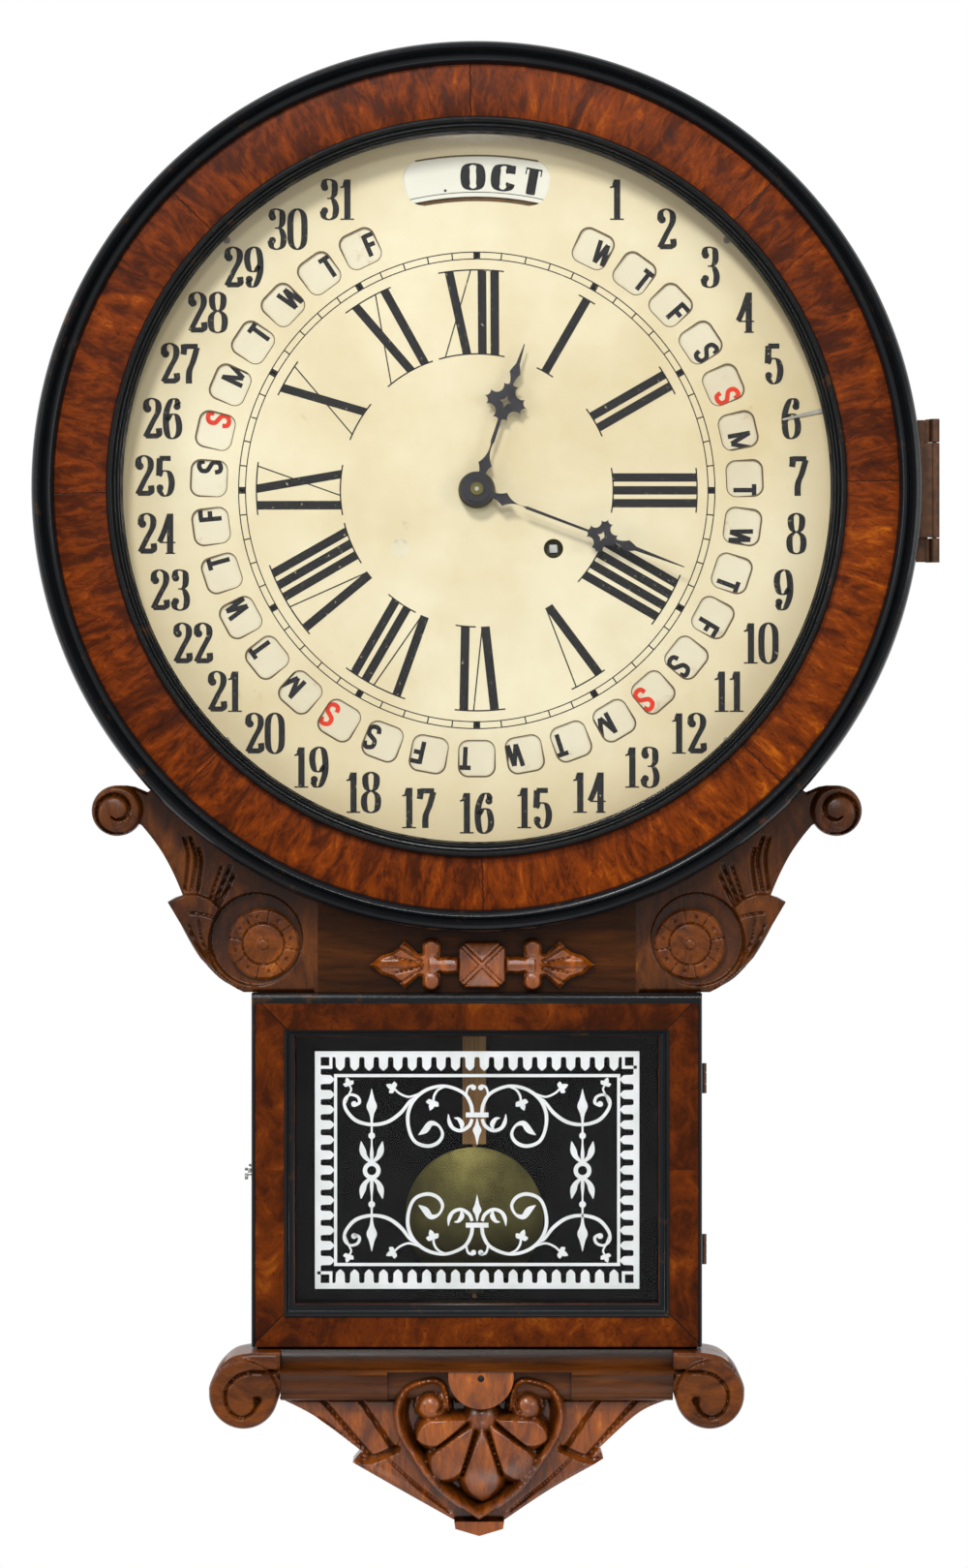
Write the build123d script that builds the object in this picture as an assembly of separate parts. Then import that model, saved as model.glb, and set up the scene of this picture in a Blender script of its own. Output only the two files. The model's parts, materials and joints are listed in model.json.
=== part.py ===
from build123d import *
import os
from math import atan2, cos, degrees, pi, radians, sin, sqrt

os.makedirs("parts", exist_ok=True)

# Frame: x to the right, z up, the wall is the plane y = 0 and the clock's front faces -y.
# The origin lies on the wall, behind the arbor that carries the hands.
# "Depth" is the distance in front of the wall, so a depth of 83 is y = -83.

# Head of the case
backboard_thick = 8.0
backboard_r = 240.0
drum_r = 244.0
drum_wall = 18.0
drum_front = 89.7
bezel_back = 90.0
bezel_r = 250.0
veneer_outer_r = 237.0
veneer_inner_r = 208.0
sight_r = 199.0
veneer_depth = 108.0
bezel_front = 118.0
glass_back = 99.2
glass_thick = 2.5
bezel_glass_r = 203.0
rebate_r = bezel_glass_r + 0.4

# Dial and its calendar rings
dial_face = 83.0
dial_thick = 0.6
dial_r = 206.0
board_front = 80.4
board_thick = 8.0
board_hole_r = 125.0
calendar_pitch = 360.0 / 35
day_windows = 31
window_r = 152.0
window_size = 20.6
window_corner = 5.5
month_window_inner_r = 164.2
month_window_outer_r = 189.9
month_window_half_angle = 13.4
winding_x = 43.5
winding_z = -33.0
winding_hole_r = 5.5
weekday_ring_r = (138.0, 163.4)
month_ring_r = (166.8, 192.0)
date_ring_r = (203.4, 213.0)
ring_back = 80.9
ring_thick = 1.2
date_step_r = 203.0
pointer_angle = 77.0
guide_stud_r = 1.2
dial_screw_angles = (45.0, 135.0, 225.0, 315.0)
dial_screw_circle = 200.5

# Lower case: pendulum box and its door
box_half = 125.0
box_wall = 12.0
box_top = -284.3
shelf_top = -484.5
box_front = 79.7
door_half = 127.0
door_top = -284.6
door_bottom = -483.3
door_back = 80.2
door_front = 100.0
stile_width = 24.5
rail_top_width = 24.0
rail_bottom_width = 24.3
door_glass_back = 88.0
door_glass_thick = 2.0
glass_lap = 4.0

# Carved woodwork
board_face = 88.3
ear_inner = 90.0
volute_centre = (203.6, -181.6)
volute_r = 14.3
boss_centre = (120.7, -256.9)
boss_hollow_r = 29.4
rosette_r = 20.2
ornament_centre = (3.0, -268.7)
shelf_bottom = -512.2
shelf_half = 110.0
scroll_centre = (130.4, -507.7)
scroll_r = 19.4
scroll_back = 74.0
apron_back = 82.0
apron_front = 104.0
apron_middle = 1.4
carving_front = 116.0
finial_top = -580.0
finial_bottom = -588.0
finial_half = 14.0
keystone_centre = (2.4, -497.4)
keystone_r = 18.3
keystone_top = -494.8
heart_ball = (-25.5, -514.8)
heart_ball_r = 9.4

# Shell: lobes fan out from a hinge under the keystone, each with its reach, turn and half width
shell_hinge = (3.0, -519.5)
shell_lobes = [(50.0, 0.0, 12.4), (45.0, 36.0, 11.6), (39.0, 69.0, 9.4)]
shell_sink = 4.5
shell_crown_r = 11.5
shell_crown_drop = 8.0

# Outlines of the apron, from the shelf down to the finial
left_edge = [(-111.0, shelf_bottom), (-89.5, -523.4), (-65.0, -542.0)]
left_leaf = [(-69.8, -547.8), (-39.4, -565.2), (-12.8, finial_top)]
right_edge = [(110.2, shelf_bottom), (91.6, -520.2), (69.4, -539.9)]
right_leaf = [(71.3, -546.0), (41.6, -562.6), (15.6, finial_top)]

# Outline of the right ear, from the drum out to the volute and down to the box
ear_neck = (189.6, -190.0)
ear_waist = (177.4, -206.4)
ear_fork = (166.5, -229.3)
leaf_tip = (174.9, -233.1)
leaf_edge = [(167.3, -245.9), (156.4, -264.8), (134.5, -283.0)]

# Right half of the throat ornament, from its centre: stem, two lobes and a pointed fan
lobe_r = 5.3
lobe_at = (28.6, 9.9)
fan_points = [(37.0, 6.8), (43.8, 13.5), (50.4, 7.2), (63.4, 0.2), (50.4, -7.2), (43.8, -13.5), (37.0, -6.8)]

# Hands
hour_length = 86.5
minute_length = 125.2
hour_angle = 18.2
minute_angle = 110.6
collet_r = 9.5
hand_thick = 1.0
hour_hand_back = 89.4
minute_hand_back = 93.2
cannon_r = 3.55
running_gap = 0.05

# Movement: plates, wheel centres, teeth and modules
plate_thick = 1.5
back_plate_back = 30.0
front_plate_back = 60.0
arbor_r = 2.0
winding_at = (winding_x, winding_z)
third_at = (-14.08, 31.17)
pendulum_x = -1.6
escape_at = (pendulum_x, 56.4)
pivot_at = (pendulum_x, 88.4)
motion_at = (-14.43, -14.43)
day_at = (25.98, 15.0)
great_teeth = 84
centre_teeth = 64
third_teeth = 60
escape_teeth = 42
lantern_trundles = 8
great_module = 2 * sqrt(winding_x**2 + winding_z**2) / (great_teeth + lantern_trundles)
centre_module = 2 * sqrt(third_at[0] ** 2 + third_at[1] ** 2) / (centre_teeth + lantern_trundles)
third_to_escape = sqrt((escape_at[0] - third_at[0]) ** 2 + (escape_at[1] - third_at[1]) ** 2)
third_module = 2 * third_to_escape / (third_teeth + lantern_trundles)
motion_distance = sqrt(motion_at[0] ** 2 + motion_at[1] ** 2)
day_distance = sqrt(day_at[0] ** 2 + day_at[1] ** 2)
escape_r = 22.0
pillar_places = [(-34.0, 96.0), (34.0, 96.0), (-34.0, -64.0), (62.0, -92.0)]
lever_at = (52.0, 40.0)
lever_length = 151.2
lever_angle = 30.0
lever_travel = 16.0

# Pendulum
rod_width = 13.7
rod_thick = 4.0
rod_back = 17.0
rod_top = 67.0
rod_end = -376.4
bob_z = -418.6
bob_r = 40.3
bob_thick = 16.0

# Hinges and hooks
bezel_hinge_x = 258.7
bezel_hinge_depth = 91.0
bezel_barrel_r = 2.9
bezel_barrel_ends = (-41.3, 39.6)
bezel_barrel_splits = (-27.5, 26.4)
door_hinge_x = 128.9
door_hinge_depth = 80.0
door_barrel_r = 1.6
door_barrel_bottoms = (-342.0, -439.0)
door_barrel_length = 17.0
hook_depth = 60.0
door_hook_z = -387.0
hook_length = 27.0

# Wall hanger
hanger_hole_r = 4.0
hanger_hole_z = 212.0
hanger_thick = 1.6
hanger_width = 30.0
hanger_height = 60.0


def write(shape, node):
    export_step(shape, f"parts/{node}.step")


def slab(sketch, back, front):
    """An outline drawn in x and z, made solid between two depths."""
    return extrude(Plane.XZ.offset(back) * sketch, amount=front - back)


def block(x0, x1, back, front, z0, z1):
    width = x1 - x0
    height = z1 - z0
    outline = Pos((x0 + x1) / 2, (z0 + z1) / 2) * Rectangle(width, height)
    return slab(outline, back, front)


def disc(x, z, radius, back, front):
    return slab(Pos(x, z) * Circle(radius), back, front)


def ring(inner, outer, back, front):
    return slab(Circle(outer) - Circle(inner), back, front)


def post_x(x0, x1, depth, z, radius):
    """A round post along x."""
    return Pos((x0 + x1) / 2, -depth, z) * Rot(0, 90, 0) * Cylinder(radius, x1 - x0)


def post_z(x, depth, z0, z1, radius):
    """A round post along z."""
    return Pos(x, -depth, (z0 + z1) / 2) * Cylinder(radius, z1 - z0)


def turned(edges):
    """A profile of radius and depth, turned about the clock's own axis."""
    return revolve(mirror(make_face(edges), Plane.XZ), Axis.Y)


def polygon(points):
    return make_face(Polyline(*points, close=True))


def mirrored(shape):
    return mirror(shape, Plane.YZ)


def polar(radius, clock_angle):
    """A point at a clock angle: degrees clockwise from twelve."""
    angle = radians(clock_angle)
    return radius * sin(angle), radius * cos(angle)


def joined(parts):
    """Separate solids that share one node."""
    return Compound(children=[piece for part in parts for piece in part.solids()])


# Case

def make_backboard():
    outline = Circle(backboard_r)
    box_height = -shelf_bottom - 150.0
    outline += Pos(0, (shelf_bottom - 150.0) / 2) * Rectangle(2 * box_half, box_height)
    board = slab(outline, 0, backboard_thick)
    hanger_z = hanger_hole_z - 12.0
    recess = Pos(0, hanger_z) * Rectangle(hanger_width, hanger_height)
    board -= slab(recess, 0, hanger_thick)
    board -= disc(0, hanger_hole_z, 9.0, 0, 6.5)
    for z in (hanger_z - 20.0, hanger_z + 23.0):
        board -= disc(0, z, 1.5, 0, 6.0)
    for x, z in pillar_places:
        board -= disc(x, z, 2.0, 4.0, backboard_thick)
    return board


def make_hanger():
    hanger_z = hanger_hole_z - 12.0
    plate = slab(Pos(0, hanger_z) * Rectangle(hanger_width, hanger_height), 0, hanger_thick)
    plate -= disc(0, hanger_hole_z, hanger_hole_r, 0, hanger_thick)
    for z in (hanger_z - 20.0, hanger_z + 23.0):
        plate -= disc(0, z, 3.0, 0, 1.0)
        plate -= disc(0, z, 1.5, 1.0, hanger_thick)
    return plate


def make_drum():
    wall = ring(drum_r - drum_wall, drum_r, backboard_thick, drum_front)
    wall -= block(-100, 100, 14, 72, -260, -190)
    wall -= block(243.0, 250, 70, drum_front, -42, 40.2)
    wall -= post_x(-250, -236, hook_depth, 0, 1.5)
    return wall


def make_box_sides():
    side = block(box_half - box_wall, box_half, backboard_thick, box_front, shelf_top, -195)
    side -= disc(0, 0, drum_r, 0, drum_front)
    other = mirrored(side)
    other -= post_x(-130, -118, hook_depth, door_hook_z, 1.5)
    return joined([side, other])


def make_throat_board():
    board = block(-ear_inner, ear_inner, box_front, board_face, box_top, -215)
    return board - disc(0, 0, drum_r, 0, drum_front)


def ear_outline():
    top = ThreePointArc((203.0, -167.3), (194.0, -168.0), (186.5, -171.2))
    hidden = Polyline((186.5, -171.2), (170, -160), (ear_inner, -215), (ear_inner, box_top))
    foot = Polyline((ear_inner, box_top), (132.0, box_top), leaf_edge[2])
    leaf = ThreePointArc(leaf_edge[2], leaf_edge[1], leaf_edge[0])
    tip = Polyline(leaf_edge[0], leaf_tip)
    leaf_top = ThreePointArc(leaf_tip, (170.6, -230.6), ear_fork)
    edge = ThreePointArc(ear_fork, ear_waist, ear_neck)
    closing = Polyline(ear_neck, volute_centre, (203.0, -167.3))
    return make_face([top, hidden, foot, leaf, tip, leaf_top, edge, closing])


def make_ear():
    ear = slab(ear_outline(), box_front, board_face)
    ear += disc(*volute_centre, volute_r, 74.0, 92.0)
    ear += disc(*volute_centre, 8.4, 74.0, 94.5)
    raised = make_face([
        ThreePointArc(leaf_edge[2], leaf_edge[1], leaf_edge[0]),
        Polyline(leaf_edge[0], leaf_tip),
        ThreePointArc(leaf_tip, (163.0, -229.0), (148.0, -238.0)),
        ThreePointArc((148.0, -238.0), (150.6, -258.0), leaf_edge[2]),
    ])
    ear += slab(raised, board_face, board_face + 2.0)
    ear -= disc(*boss_centre, boss_hollow_r, board_face - 5.0, bezel_front)
    return ear - disc(0, 0, drum_r, 0, drum_front)


def make_rosette():
    floor = board_face - 5.0
    boss = disc(*boss_centre, rosette_r, floor, floor + 7.0)
    groove = slab(Pos(*boss_centre) * (Circle(12.4) - Circle(11.2)), floor + 5.8, floor + 7.0)
    boss -= groove
    boss += disc(*boss_centre, 3.4, floor, floor + 8.6)
    for turn in range(8):
        x, z = polar(15.8, 45.0 * turn)
        boss -= disc(boss_centre[0] + x, boss_centre[1] + z, 0.9, floor + 5.5, floor + 8.0)
    return boss


def make_throat_leaf(side):
    outline = polygon([(13.2, 5.5), (28.0, 4.6), *fan_points, (28.0, -4.6), (13.2, -5.5)])
    for sign in (1, -1):
        outline += Pos(lobe_at[0], sign * lobe_at[1]) * Circle(lobe_r)
        outline += Pos(lobe_at[0], sign * lobe_at[1] / 2) * Rectangle(2 * lobe_r, lobe_at[1])
    leaf = slab(outline, board_face, board_face + 6.0)
    ridge = polygon([(13.2, 1.6), (50.0, 2.4), (63.4, 0.2), (50.0, -2.4), (13.2, -1.6)])
    leaf += slab(ridge, board_face + 6.0, board_face + 7.4)
    leaf = mirrored(leaf) if side < 0 else leaf
    return Pos(ornament_centre[0], 0, ornament_centre[1]) * leaf


def make_throat_block():
    half = 13.2
    cut = 4.0
    corners = [(half, half - cut), (half - cut, half)]
    corners += [(-x, z) for x, z in reversed(corners)]
    corners += [(-x, -z) for x, z in corners]
    base = slab(polygon(corners), board_face, board_face + 5.0)
    top = Plane.XZ.offset(board_face + 5.0) * polygon(corners)
    base += extrude(top, amount=4.0, taper=60)
    return Pos(ornament_centre[0], 0, ornament_centre[1]) * base


def make_shelf():
    profile = make_face([
        Polyline((backboard_thick, shelf_top), (102.0, shelf_top)),
        ThreePointArc((102.0, shelf_top), (106.5, -491.4), (116.6, -493.8)),
        Polyline((116.6, -493.8), (118.0, -494.6), (118.0, -496.4)),
        ThreePointArc((118.0, -496.4), (113.0, -501.3), (110.8, -507.4)),
        ThreePointArc((110.8, -507.4), (109.5, -510.9), (106.0, shelf_bottom)),
        Polyline((106.0, shelf_bottom), (backboard_thick, shelf_bottom), (backboard_thick, shelf_top)),
    ])
    section = Plane(origin=(-shelf_half, 0, 0), x_dir=(0, -1, 0), z_dir=(-1, 0, 0))
    shelf = extrude(section * profile, amount=-2 * shelf_half)
    shelf += block(-box_half, box_half, backboard_thick, scroll_back, shelf_bottom, shelf_top)
    shelf -= block(-50, 53, apron_front, bezel_front + 1, shelf_bottom - 1, keystone_top)
    return shelf


def make_shelf_scroll():
    cx, cz = scroll_centre
    neck = make_face([
        Polyline((shelf_half, shelf_top), (126.0, shelf_top)),
        ThreePointArc((126.0, shelf_top), (142.5, -490.4), (cx + scroll_r, cz)),
        Polyline((cx + scroll_r, cz), (cx, cz), (shelf_half, -505.0), (shelf_half, shelf_top)),
    ])
    scroll = slab(neck, scroll_back, bezel_front - 3.0)
    scroll += disc(cx, cz, scroll_r, scroll_back, bezel_front)
    scroll -= disc(cx - 1.4, cz + 1.2, 13.4, bezel_front - 2.5, bezel_front)
    scroll += disc(cx - 2.0, cz + 1.6, 11.0, bezel_front - 3.0, bezel_front)
    return scroll


def apron_side(edge, leaf):
    return [ThreePointArc(*edge), Polyline(edge[2], leaf[0]), ThreePointArc(*leaf)]


def make_apron():
    left = apron_side(left_edge, left_leaf)
    right = apron_side(right_edge, right_leaf)
    bottom = Polyline(left_leaf[2], right_leaf[2])
    top = Polyline(left_edge[0], right_edge[0])
    apron = slab(make_face([top, *left, bottom, *right]), apron_back, apron_front)
    for side in (-1, 1):
        apron -= disc(side * scroll_centre[0], scroll_centre[1], scroll_r, 0, bezel_front)
    return apron


def heart_half(inset):
    """Left side of the heart scroll, from its volute ball to its point."""
    top = (-25.5, -497.6 - inset)
    side = (-46.6 + inset, -514.5)
    low = (-40.6 + inset, -539.0)
    point = (apron_middle, -579.8 + 1.4 * inset)
    bend = (-22.5 + 0.8 * inset, -563.4 + 0.5 * inset)
    return [ThreePointArc(top, (-40.4 + 0.8 * inset, -502.8 - 0.7 * inset), side),
            ThreePointArc(side, (-46.6 + inset, -527.0), low),
            ThreePointArc(low, bend, point)]


def make_cartouche():
    band = 6.4
    outer = heart_half(0)
    inner = heart_half(band)
    start = Polyline(outer[0] @ 0, inner[0] @ 0)
    end = Polyline(outer[2] @ 1, inner[2] @ 1)
    outline = make_face([*outer, end, *inner, start])
    outline += Pos(*heart_ball) * Circle(heart_ball_r)
    curl = make_face([
        ThreePointArc((-25.5, -497.6), (-17.6, -500.4), (-14.4, -507.0)),
        ThreePointArc((-14.4, -507.0), (-14.6, -511.0), (-16.4, -514.8)),
        Polyline((-16.4, -514.8), (-22.0, -514.8)),
        ThreePointArc((-22.0, -514.8), (-20.6, -507.4), (-25.5, -504.0)),
        Polyline((-25.5, -504.0), (-25.5, -497.6)),
    ])
    outline += curl
    left = slab(outline, apron_front, carving_front - 4.0)
    left += disc(*heart_ball, heart_ball_r - 1.8, apron_front, carving_front)
    right = Pos(2 * apron_middle, 0, 0) * mirrored(left)
    keystone = disc(*keystone_centre, keystone_r, apron_front, bezel_front)
    return joined([left - keystone, right - keystone])


def shell_lobe(reach, turn, half_width):
    """A lobe turned about its own length and sunk into the apron."""
    widest = -0.66 * reach
    profile = make_face([
        Polyline((0, 0), (0, -reach)),
        ThreePointArc((0, -reach), (0.72 * half_width, -reach + 0.22 * (reach + widest)), (half_width, widest)),
        ThreePointArc((half_width, widest), (0.62 * half_width, 0.5 * widest), (0, 0)),
    ])
    lobe = revolve(Plane.XZ * profile, Axis.Z)
    hx, hz = shell_hinge
    return Pos(hx, -apron_front + shell_sink, hz) * Rot(0, turn, 0) * lobe


def make_shell():
    x, z = shell_hinge
    shell = Pos(x, -apron_front + shell_sink, z - shell_crown_drop) * Sphere(shell_crown_r)
    for reach, turn, half_width in shell_lobes:
        for side in ((1, -1) if turn else (1,)):
            shell += shell_lobe(reach, side * turn, half_width)
    shell &= block(-60, 60, apron_front, carving_front, -600, -512.9)
    return shell - make_cartouche()


def make_keystone():
    x, z = keystone_centre
    boss = disc(x, z, keystone_r, apron_front, bezel_front - 1.0)
    boss &= block(x - keystone_r, x + keystone_r, apron_front, bezel_front, z - keystone_r, keystone_top)
    return boss - disc(x, z - 1.2, 1.9, bezel_front - 6.0, bezel_front)


def make_finial():
    x = apron_middle
    shoulder = finial_bottom + 4.0
    outline = polygon([(x - finial_half, finial_top), (x + finial_half, finial_top), (x + finial_half - 0.6, shoulder),
                       (x, finial_bottom), (x - finial_half + 0.6, shoulder)])
    return slab(outline, apron_back, apron_front + 5.0)


# Bezel: a glazed round door

def make_bezel_ring():
    base = turned(Polyline(
        (rebate_r, bezel_back), (drum_r + 0.4, bezel_back), (drum_r + 0.4, 105.0), (veneer_outer_r, 105.0),
        (veneer_outer_r, veneer_depth), (veneer_inner_r, veneer_depth), (veneer_inner_r, 104.0),
        (rebate_r, 104.0), close=True))
    return base


def make_outer_moulding():
    inner = veneer_outer_r
    profile = [
        Polyline((inner, 105.0), (inner, 110.4)),
        ThreePointArc((inner, 110.4), (240.0, 113.2), (243.0, 110.8)),
        Polyline((243.0, 110.8), (243.4, 112.6)),
        ThreePointArc((243.4, 112.6), (245.4, 116.6), (247.2, bezel_front)),
        ThreePointArc((247.2, bezel_front), (249.0, 115.9), (bezel_r, 112.0)),
        Polyline((bezel_r, 112.0), (bezel_r, bezel_back), (drum_r + 0.4, bezel_back), (drum_r + 0.4, 105.0)),
        Polyline((drum_r + 0.4, 105.0), (inner, 105.0)),
    ]
    moulding = turned(profile)
    moulding -= block(249.0, 262.0, bezel_back, 105.0, -27.2, 26.1)
    return moulding


def make_inner_moulding():
    outer = veneer_inner_r
    profile = [
        Polyline((outer, 104.0), (outer, 110.0)),
        ThreePointArc((outer, 110.0), (206.0, 114.0), (203.6, 111.0)),
        Polyline((203.6, 111.0), (202.6, 109.6), (201.8, 109.6), (201.0, 107.4), (200.2, 107.4), (sight_r, 104.4)),
        Polyline((sight_r, 104.4), (sight_r, glass_back + glass_thick)),
        Polyline((sight_r, glass_back + glass_thick), (rebate_r, glass_back + glass_thick)),
        Polyline((rebate_r, glass_back + glass_thick), (rebate_r, 104.0), (outer, 104.0)),
    ]
    return turned(profile)


def make_bezel_glass():
    return disc(0, 0, bezel_glass_r, glass_back, glass_back + glass_thick)


def make_bezel_putty():
    return turned(Polyline((rebate_r, 94.6), (rebate_r, glass_back), (200.0, glass_back), close=True))


def hinge_knuckles(x, depth, radius, spans, bore):
    barrel = None
    for low, high in spans:
        knuckle = post_z(x, depth, low, high, radius) - post_z(x, depth, low, high, bore)
        barrel = knuckle if barrel is None else barrel + knuckle
    return barrel


def make_bezel_hinge_case():
    x, depth = bezel_hinge_x, bezel_hinge_depth
    low, high = bezel_barrel_ends
    split_low, split_high = bezel_barrel_splits
    pin_r = 1.2
    leaf = block(243.0, 244.4, 70, 88.9, -41.0, 39.3)
    leaf += block(243.0, 255.2, 87.5, 88.9, -41.0, 39.3)
    for z0, z1 in ((low, split_low - 0.3), (split_high + 0.3, high)):
        leaf += block(254.0, x - 1.3, 87.5, 90.0, z0, z1)
        leaf += post_z(x, depth, z0, z1, bezel_barrel_r)
    leaf += post_z(x, depth, low, high, pin_r)
    return leaf


def make_bezel_hinge_leaf():
    x, depth = bezel_hinge_x, bezel_hinge_depth
    split_low, split_high = bezel_barrel_splits
    leaf = block(249.0, 250.4, 91.0, 105.0, split_low + 0.3, split_high - 0.3)
    leaf += block(249.6, x - 1.0, 92.0, 93.4, split_low + 0.3, split_high - 0.3)
    leaf += post_z(x, depth, split_low + 0.3, split_high - 0.3, bezel_barrel_r)
    return leaf - post_z(x, depth, split_low, split_high, 1.2 + running_gap)


def make_catch_stud_bezel():
    stud = disc(-247.6, 0, 1.0, 83.6, bezel_back)
    stud += post_x(-248.4, -244.9, 84.2, 0, 1.0)
    return stud


# Door of the pendulum box

def door_outline(inset_side, inset_top, inset_bottom):
    left = -door_half + inset_side
    top = door_top - inset_top
    bottom = door_bottom + inset_bottom
    return [(left, top), (-left, top), (-left, bottom), (left, bottom)]


def frame_member(outer, inner, first, back, front):
    second = (first + 1) % 4
    return slab(polygon([outer[first], outer[second], inner[second], inner[first]]), back, front)


def four_members(outer, inner, back, front):
    return [frame_member(outer, inner, side, back, front) for side in range(4)]


def make_door_frame():
    outer = door_outline(2.2, 5.5, 0)
    inner = door_outline(stile_width, rail_top_width, rail_bottom_width)
    stiles = four_members(outer, inner, door_back, door_front - 1.5)
    rebate = polygon(glass_corners())
    stiles = [stile - slab(rebate, door_back, door_glass_back + door_glass_thick) for stile in stiles]
    for bottom in door_barrel_bottoms:
        slot = block(124.0, door_half, door_back, 92.0, bottom + 5.0, bottom + 12.0)
        stiles = [stile - slot for stile in stiles]
    return joined(stiles)


def make_door_bead():
    outer = door_outline(0, 0, 0)
    inner = door_outline(2.2, 5.5, 0)
    members = [frame_member(outer, inner, side, door_back, door_front) for side in (0, 1, 3)]
    for bottom in door_barrel_bottoms:
        slot = block(124.0, 128.0, door_back, 92.0, bottom + 5.0, bottom + 12.0)
        members = [member - slot for member in members]
    members = [member - post_x(-128, -124, hook_depth + hook_length, door_hook_z, 1.0) for member in members]
    return joined(members)


def make_door_moulding():
    outer = door_outline(20.2, 20.8, 17.0)
    inner = door_outline(stile_width, rail_top_width, rail_bottom_width)
    stop_outer = glass_corners()
    front = four_members(outer, inner, door_front - 1.5, door_front)
    stops = four_members(stop_outer, inner, door_glass_back - 4.0, door_glass_back)
    return joined(front + stops)


def glass_corners():
    return door_outline(stile_width - glass_lap, rail_top_width - glass_lap, rail_bottom_width - glass_lap)


def make_door_glass():
    return slab(polygon(glass_corners()), door_glass_back, door_glass_back + door_glass_thick)


def make_door_hinges_case():
    x, depth = door_hinge_x, door_hinge_depth
    plates = []
    for bottom in door_barrel_bottoms:
        leaf = block(box_half, box_half + 1.0, 64.0, 79.4, bottom, bottom + door_barrel_length)
        for z0, z1 in ((bottom, bottom + 5.0), (bottom + 12.0, bottom + door_barrel_length)):
            leaf += block(box_half, x - 0.6, 78.6, 79.4, z0, z1)
            leaf += post_z(x, depth, z0, z1, door_barrel_r)
        leaf += post_z(x, depth, bottom, bottom + door_barrel_length, 0.7)
        plates.append(leaf)
    return plates


def make_door_hinge_leaves():
    x, depth = door_hinge_x, door_hinge_depth
    plates = []
    for bottom in door_barrel_bottoms:
        z0 = bottom + 5.3
        z1 = bottom + 11.7
        leaf = block(126.0, 127.0, door_back, 92.0, z0, z1)
        leaf += block(126.0, x - 0.6, 80.4, 81.3, z0, z1)
        leaf += post_z(x, depth, z0, z1, door_barrel_r)
        plates.append(leaf - post_z(x, depth, z0, z1, 0.7 + running_gap))
    return joined(plates)


def make_catch_stud_door():
    depth = hook_depth + hook_length
    stud = post_x(-129.6, -124.8, depth, door_hook_z, 1.0)
    stud += post_x(-131.2, -129.6, depth, door_hook_z, 3.4)
    return stud


def make_hook(x, z, thick, length):
    """A flat hook that hangs from its screw with its notch to the front."""
    shank = polygon([(-2.2, 0), (2.2, 0), (1.8, 4.0 - length), (4.6, -length), (4.6, -length - 3.4),
                     (-1.8, -length - 3.4)])
    hook = extrude(Plane.YZ * shank, amount=thick)
    hook += extrude(Plane.YZ * Circle(4.0), amount=thick)
    hook -= extrude(Plane.YZ * (Pos(2.8, -length + 0.8) * Circle(1.4)), amount=thick)
    hook -= extrude(Plane.YZ * Circle(1.5 + running_gap), amount=thick)
    return Pos(x, -hook_depth, z) * hook


# Dial

def window_outline():
    return RectangleRounded(window_size, window_size, window_corner)


def window_angle(number):
    return 180.0 - (16 - number) * calendar_pitch


def arc_slot(inner, outer, half_angle, corner):
    """A ring sector about twelve with rounded corners."""
    sector = make_face([
        ThreePointArc(polar(inner, -half_angle), (0, inner), polar(inner, half_angle)),
        Polyline(polar(inner, half_angle), polar(outer, half_angle)),
        ThreePointArc(polar(outer, half_angle), (0, outer), polar(outer, -half_angle)),
        Polyline(polar(outer, -half_angle), polar(inner, -half_angle)),
    ])
    return fillet(sector.vertices(), corner)


def make_dial_plate():
    outline = Circle(dial_r)
    outline -= Circle(6.0)
    for side in (-1, 1):
        outline -= Pos(side * winding_x, winding_z) * Circle(winding_hole_r)
    for number in range(1, day_windows + 1):
        angle = window_angle(number)
        x, z = polar(window_r, angle)
        outline -= Pos(x, z) * Rot(0, 0, -angle) * window_outline()
    outline -= arc_slot(month_window_inner_r, month_window_outer_r, month_window_half_angle, 10.0)
    plate = slab(outline, dial_face - dial_thick, dial_face)
    for angle in dial_screw_angles:
        x, z = polar(dial_screw_circle, angle)
        plate -= disc(x, z, 1.0, dial_face - dial_thick, dial_face)
    return plate


def make_dial_board():
    board = turned(Polyline(
        (board_hole_r, board_front - board_thick), (drum_r - drum_wall, board_front - board_thick),
        (drum_r - drum_wall, board_front), (date_step_r, board_front), (date_step_r, dial_face - dial_thick),
        (196.2, dial_face - dial_thick), (196.2, board_front), (board_hole_r, board_front), close=True))
    for angle in dial_screw_angles:
        x, z = polar(dial_screw_circle, angle)
        board -= disc(x, z, 1.0, 75.0, dial_face)
    sweep_steps = 8
    slot = None
    for step in range(sweep_steps + 1):
        tip = lever_tip(lever_angle - 1.0 + (lever_travel + 2.0) * step / sweep_steps)
        hole = Pos(*tip) * Circle(2.4)
        slot = hole if slot is None else slot + hole
        if step:
            along = ((tip[0] + last[0]) / 2, (tip[1] + last[1]) / 2)
            turn = lever_angle - 1.0 + (lever_travel + 2.0) * (step - 0.5) / sweep_steps
            length = sqrt((tip[0] - last[0]) ** 2 + (tip[1] - last[1]) ** 2)
            slot += Pos(*along) * Rot(0, 0, turn) * Rectangle(4.8, length)
        last = tip
    return board - slab(slot, 70.0, 84.0)


def make_dial_screws():
    screws = []
    for angle in dial_screw_angles:
        x, z = polar(dial_screw_circle, angle)
        screws.append(disc(x, z, 1.0, 75.0, dial_face) + disc(x, z, 2.0, dial_face, dial_face + 0.8))
    return screws


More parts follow.
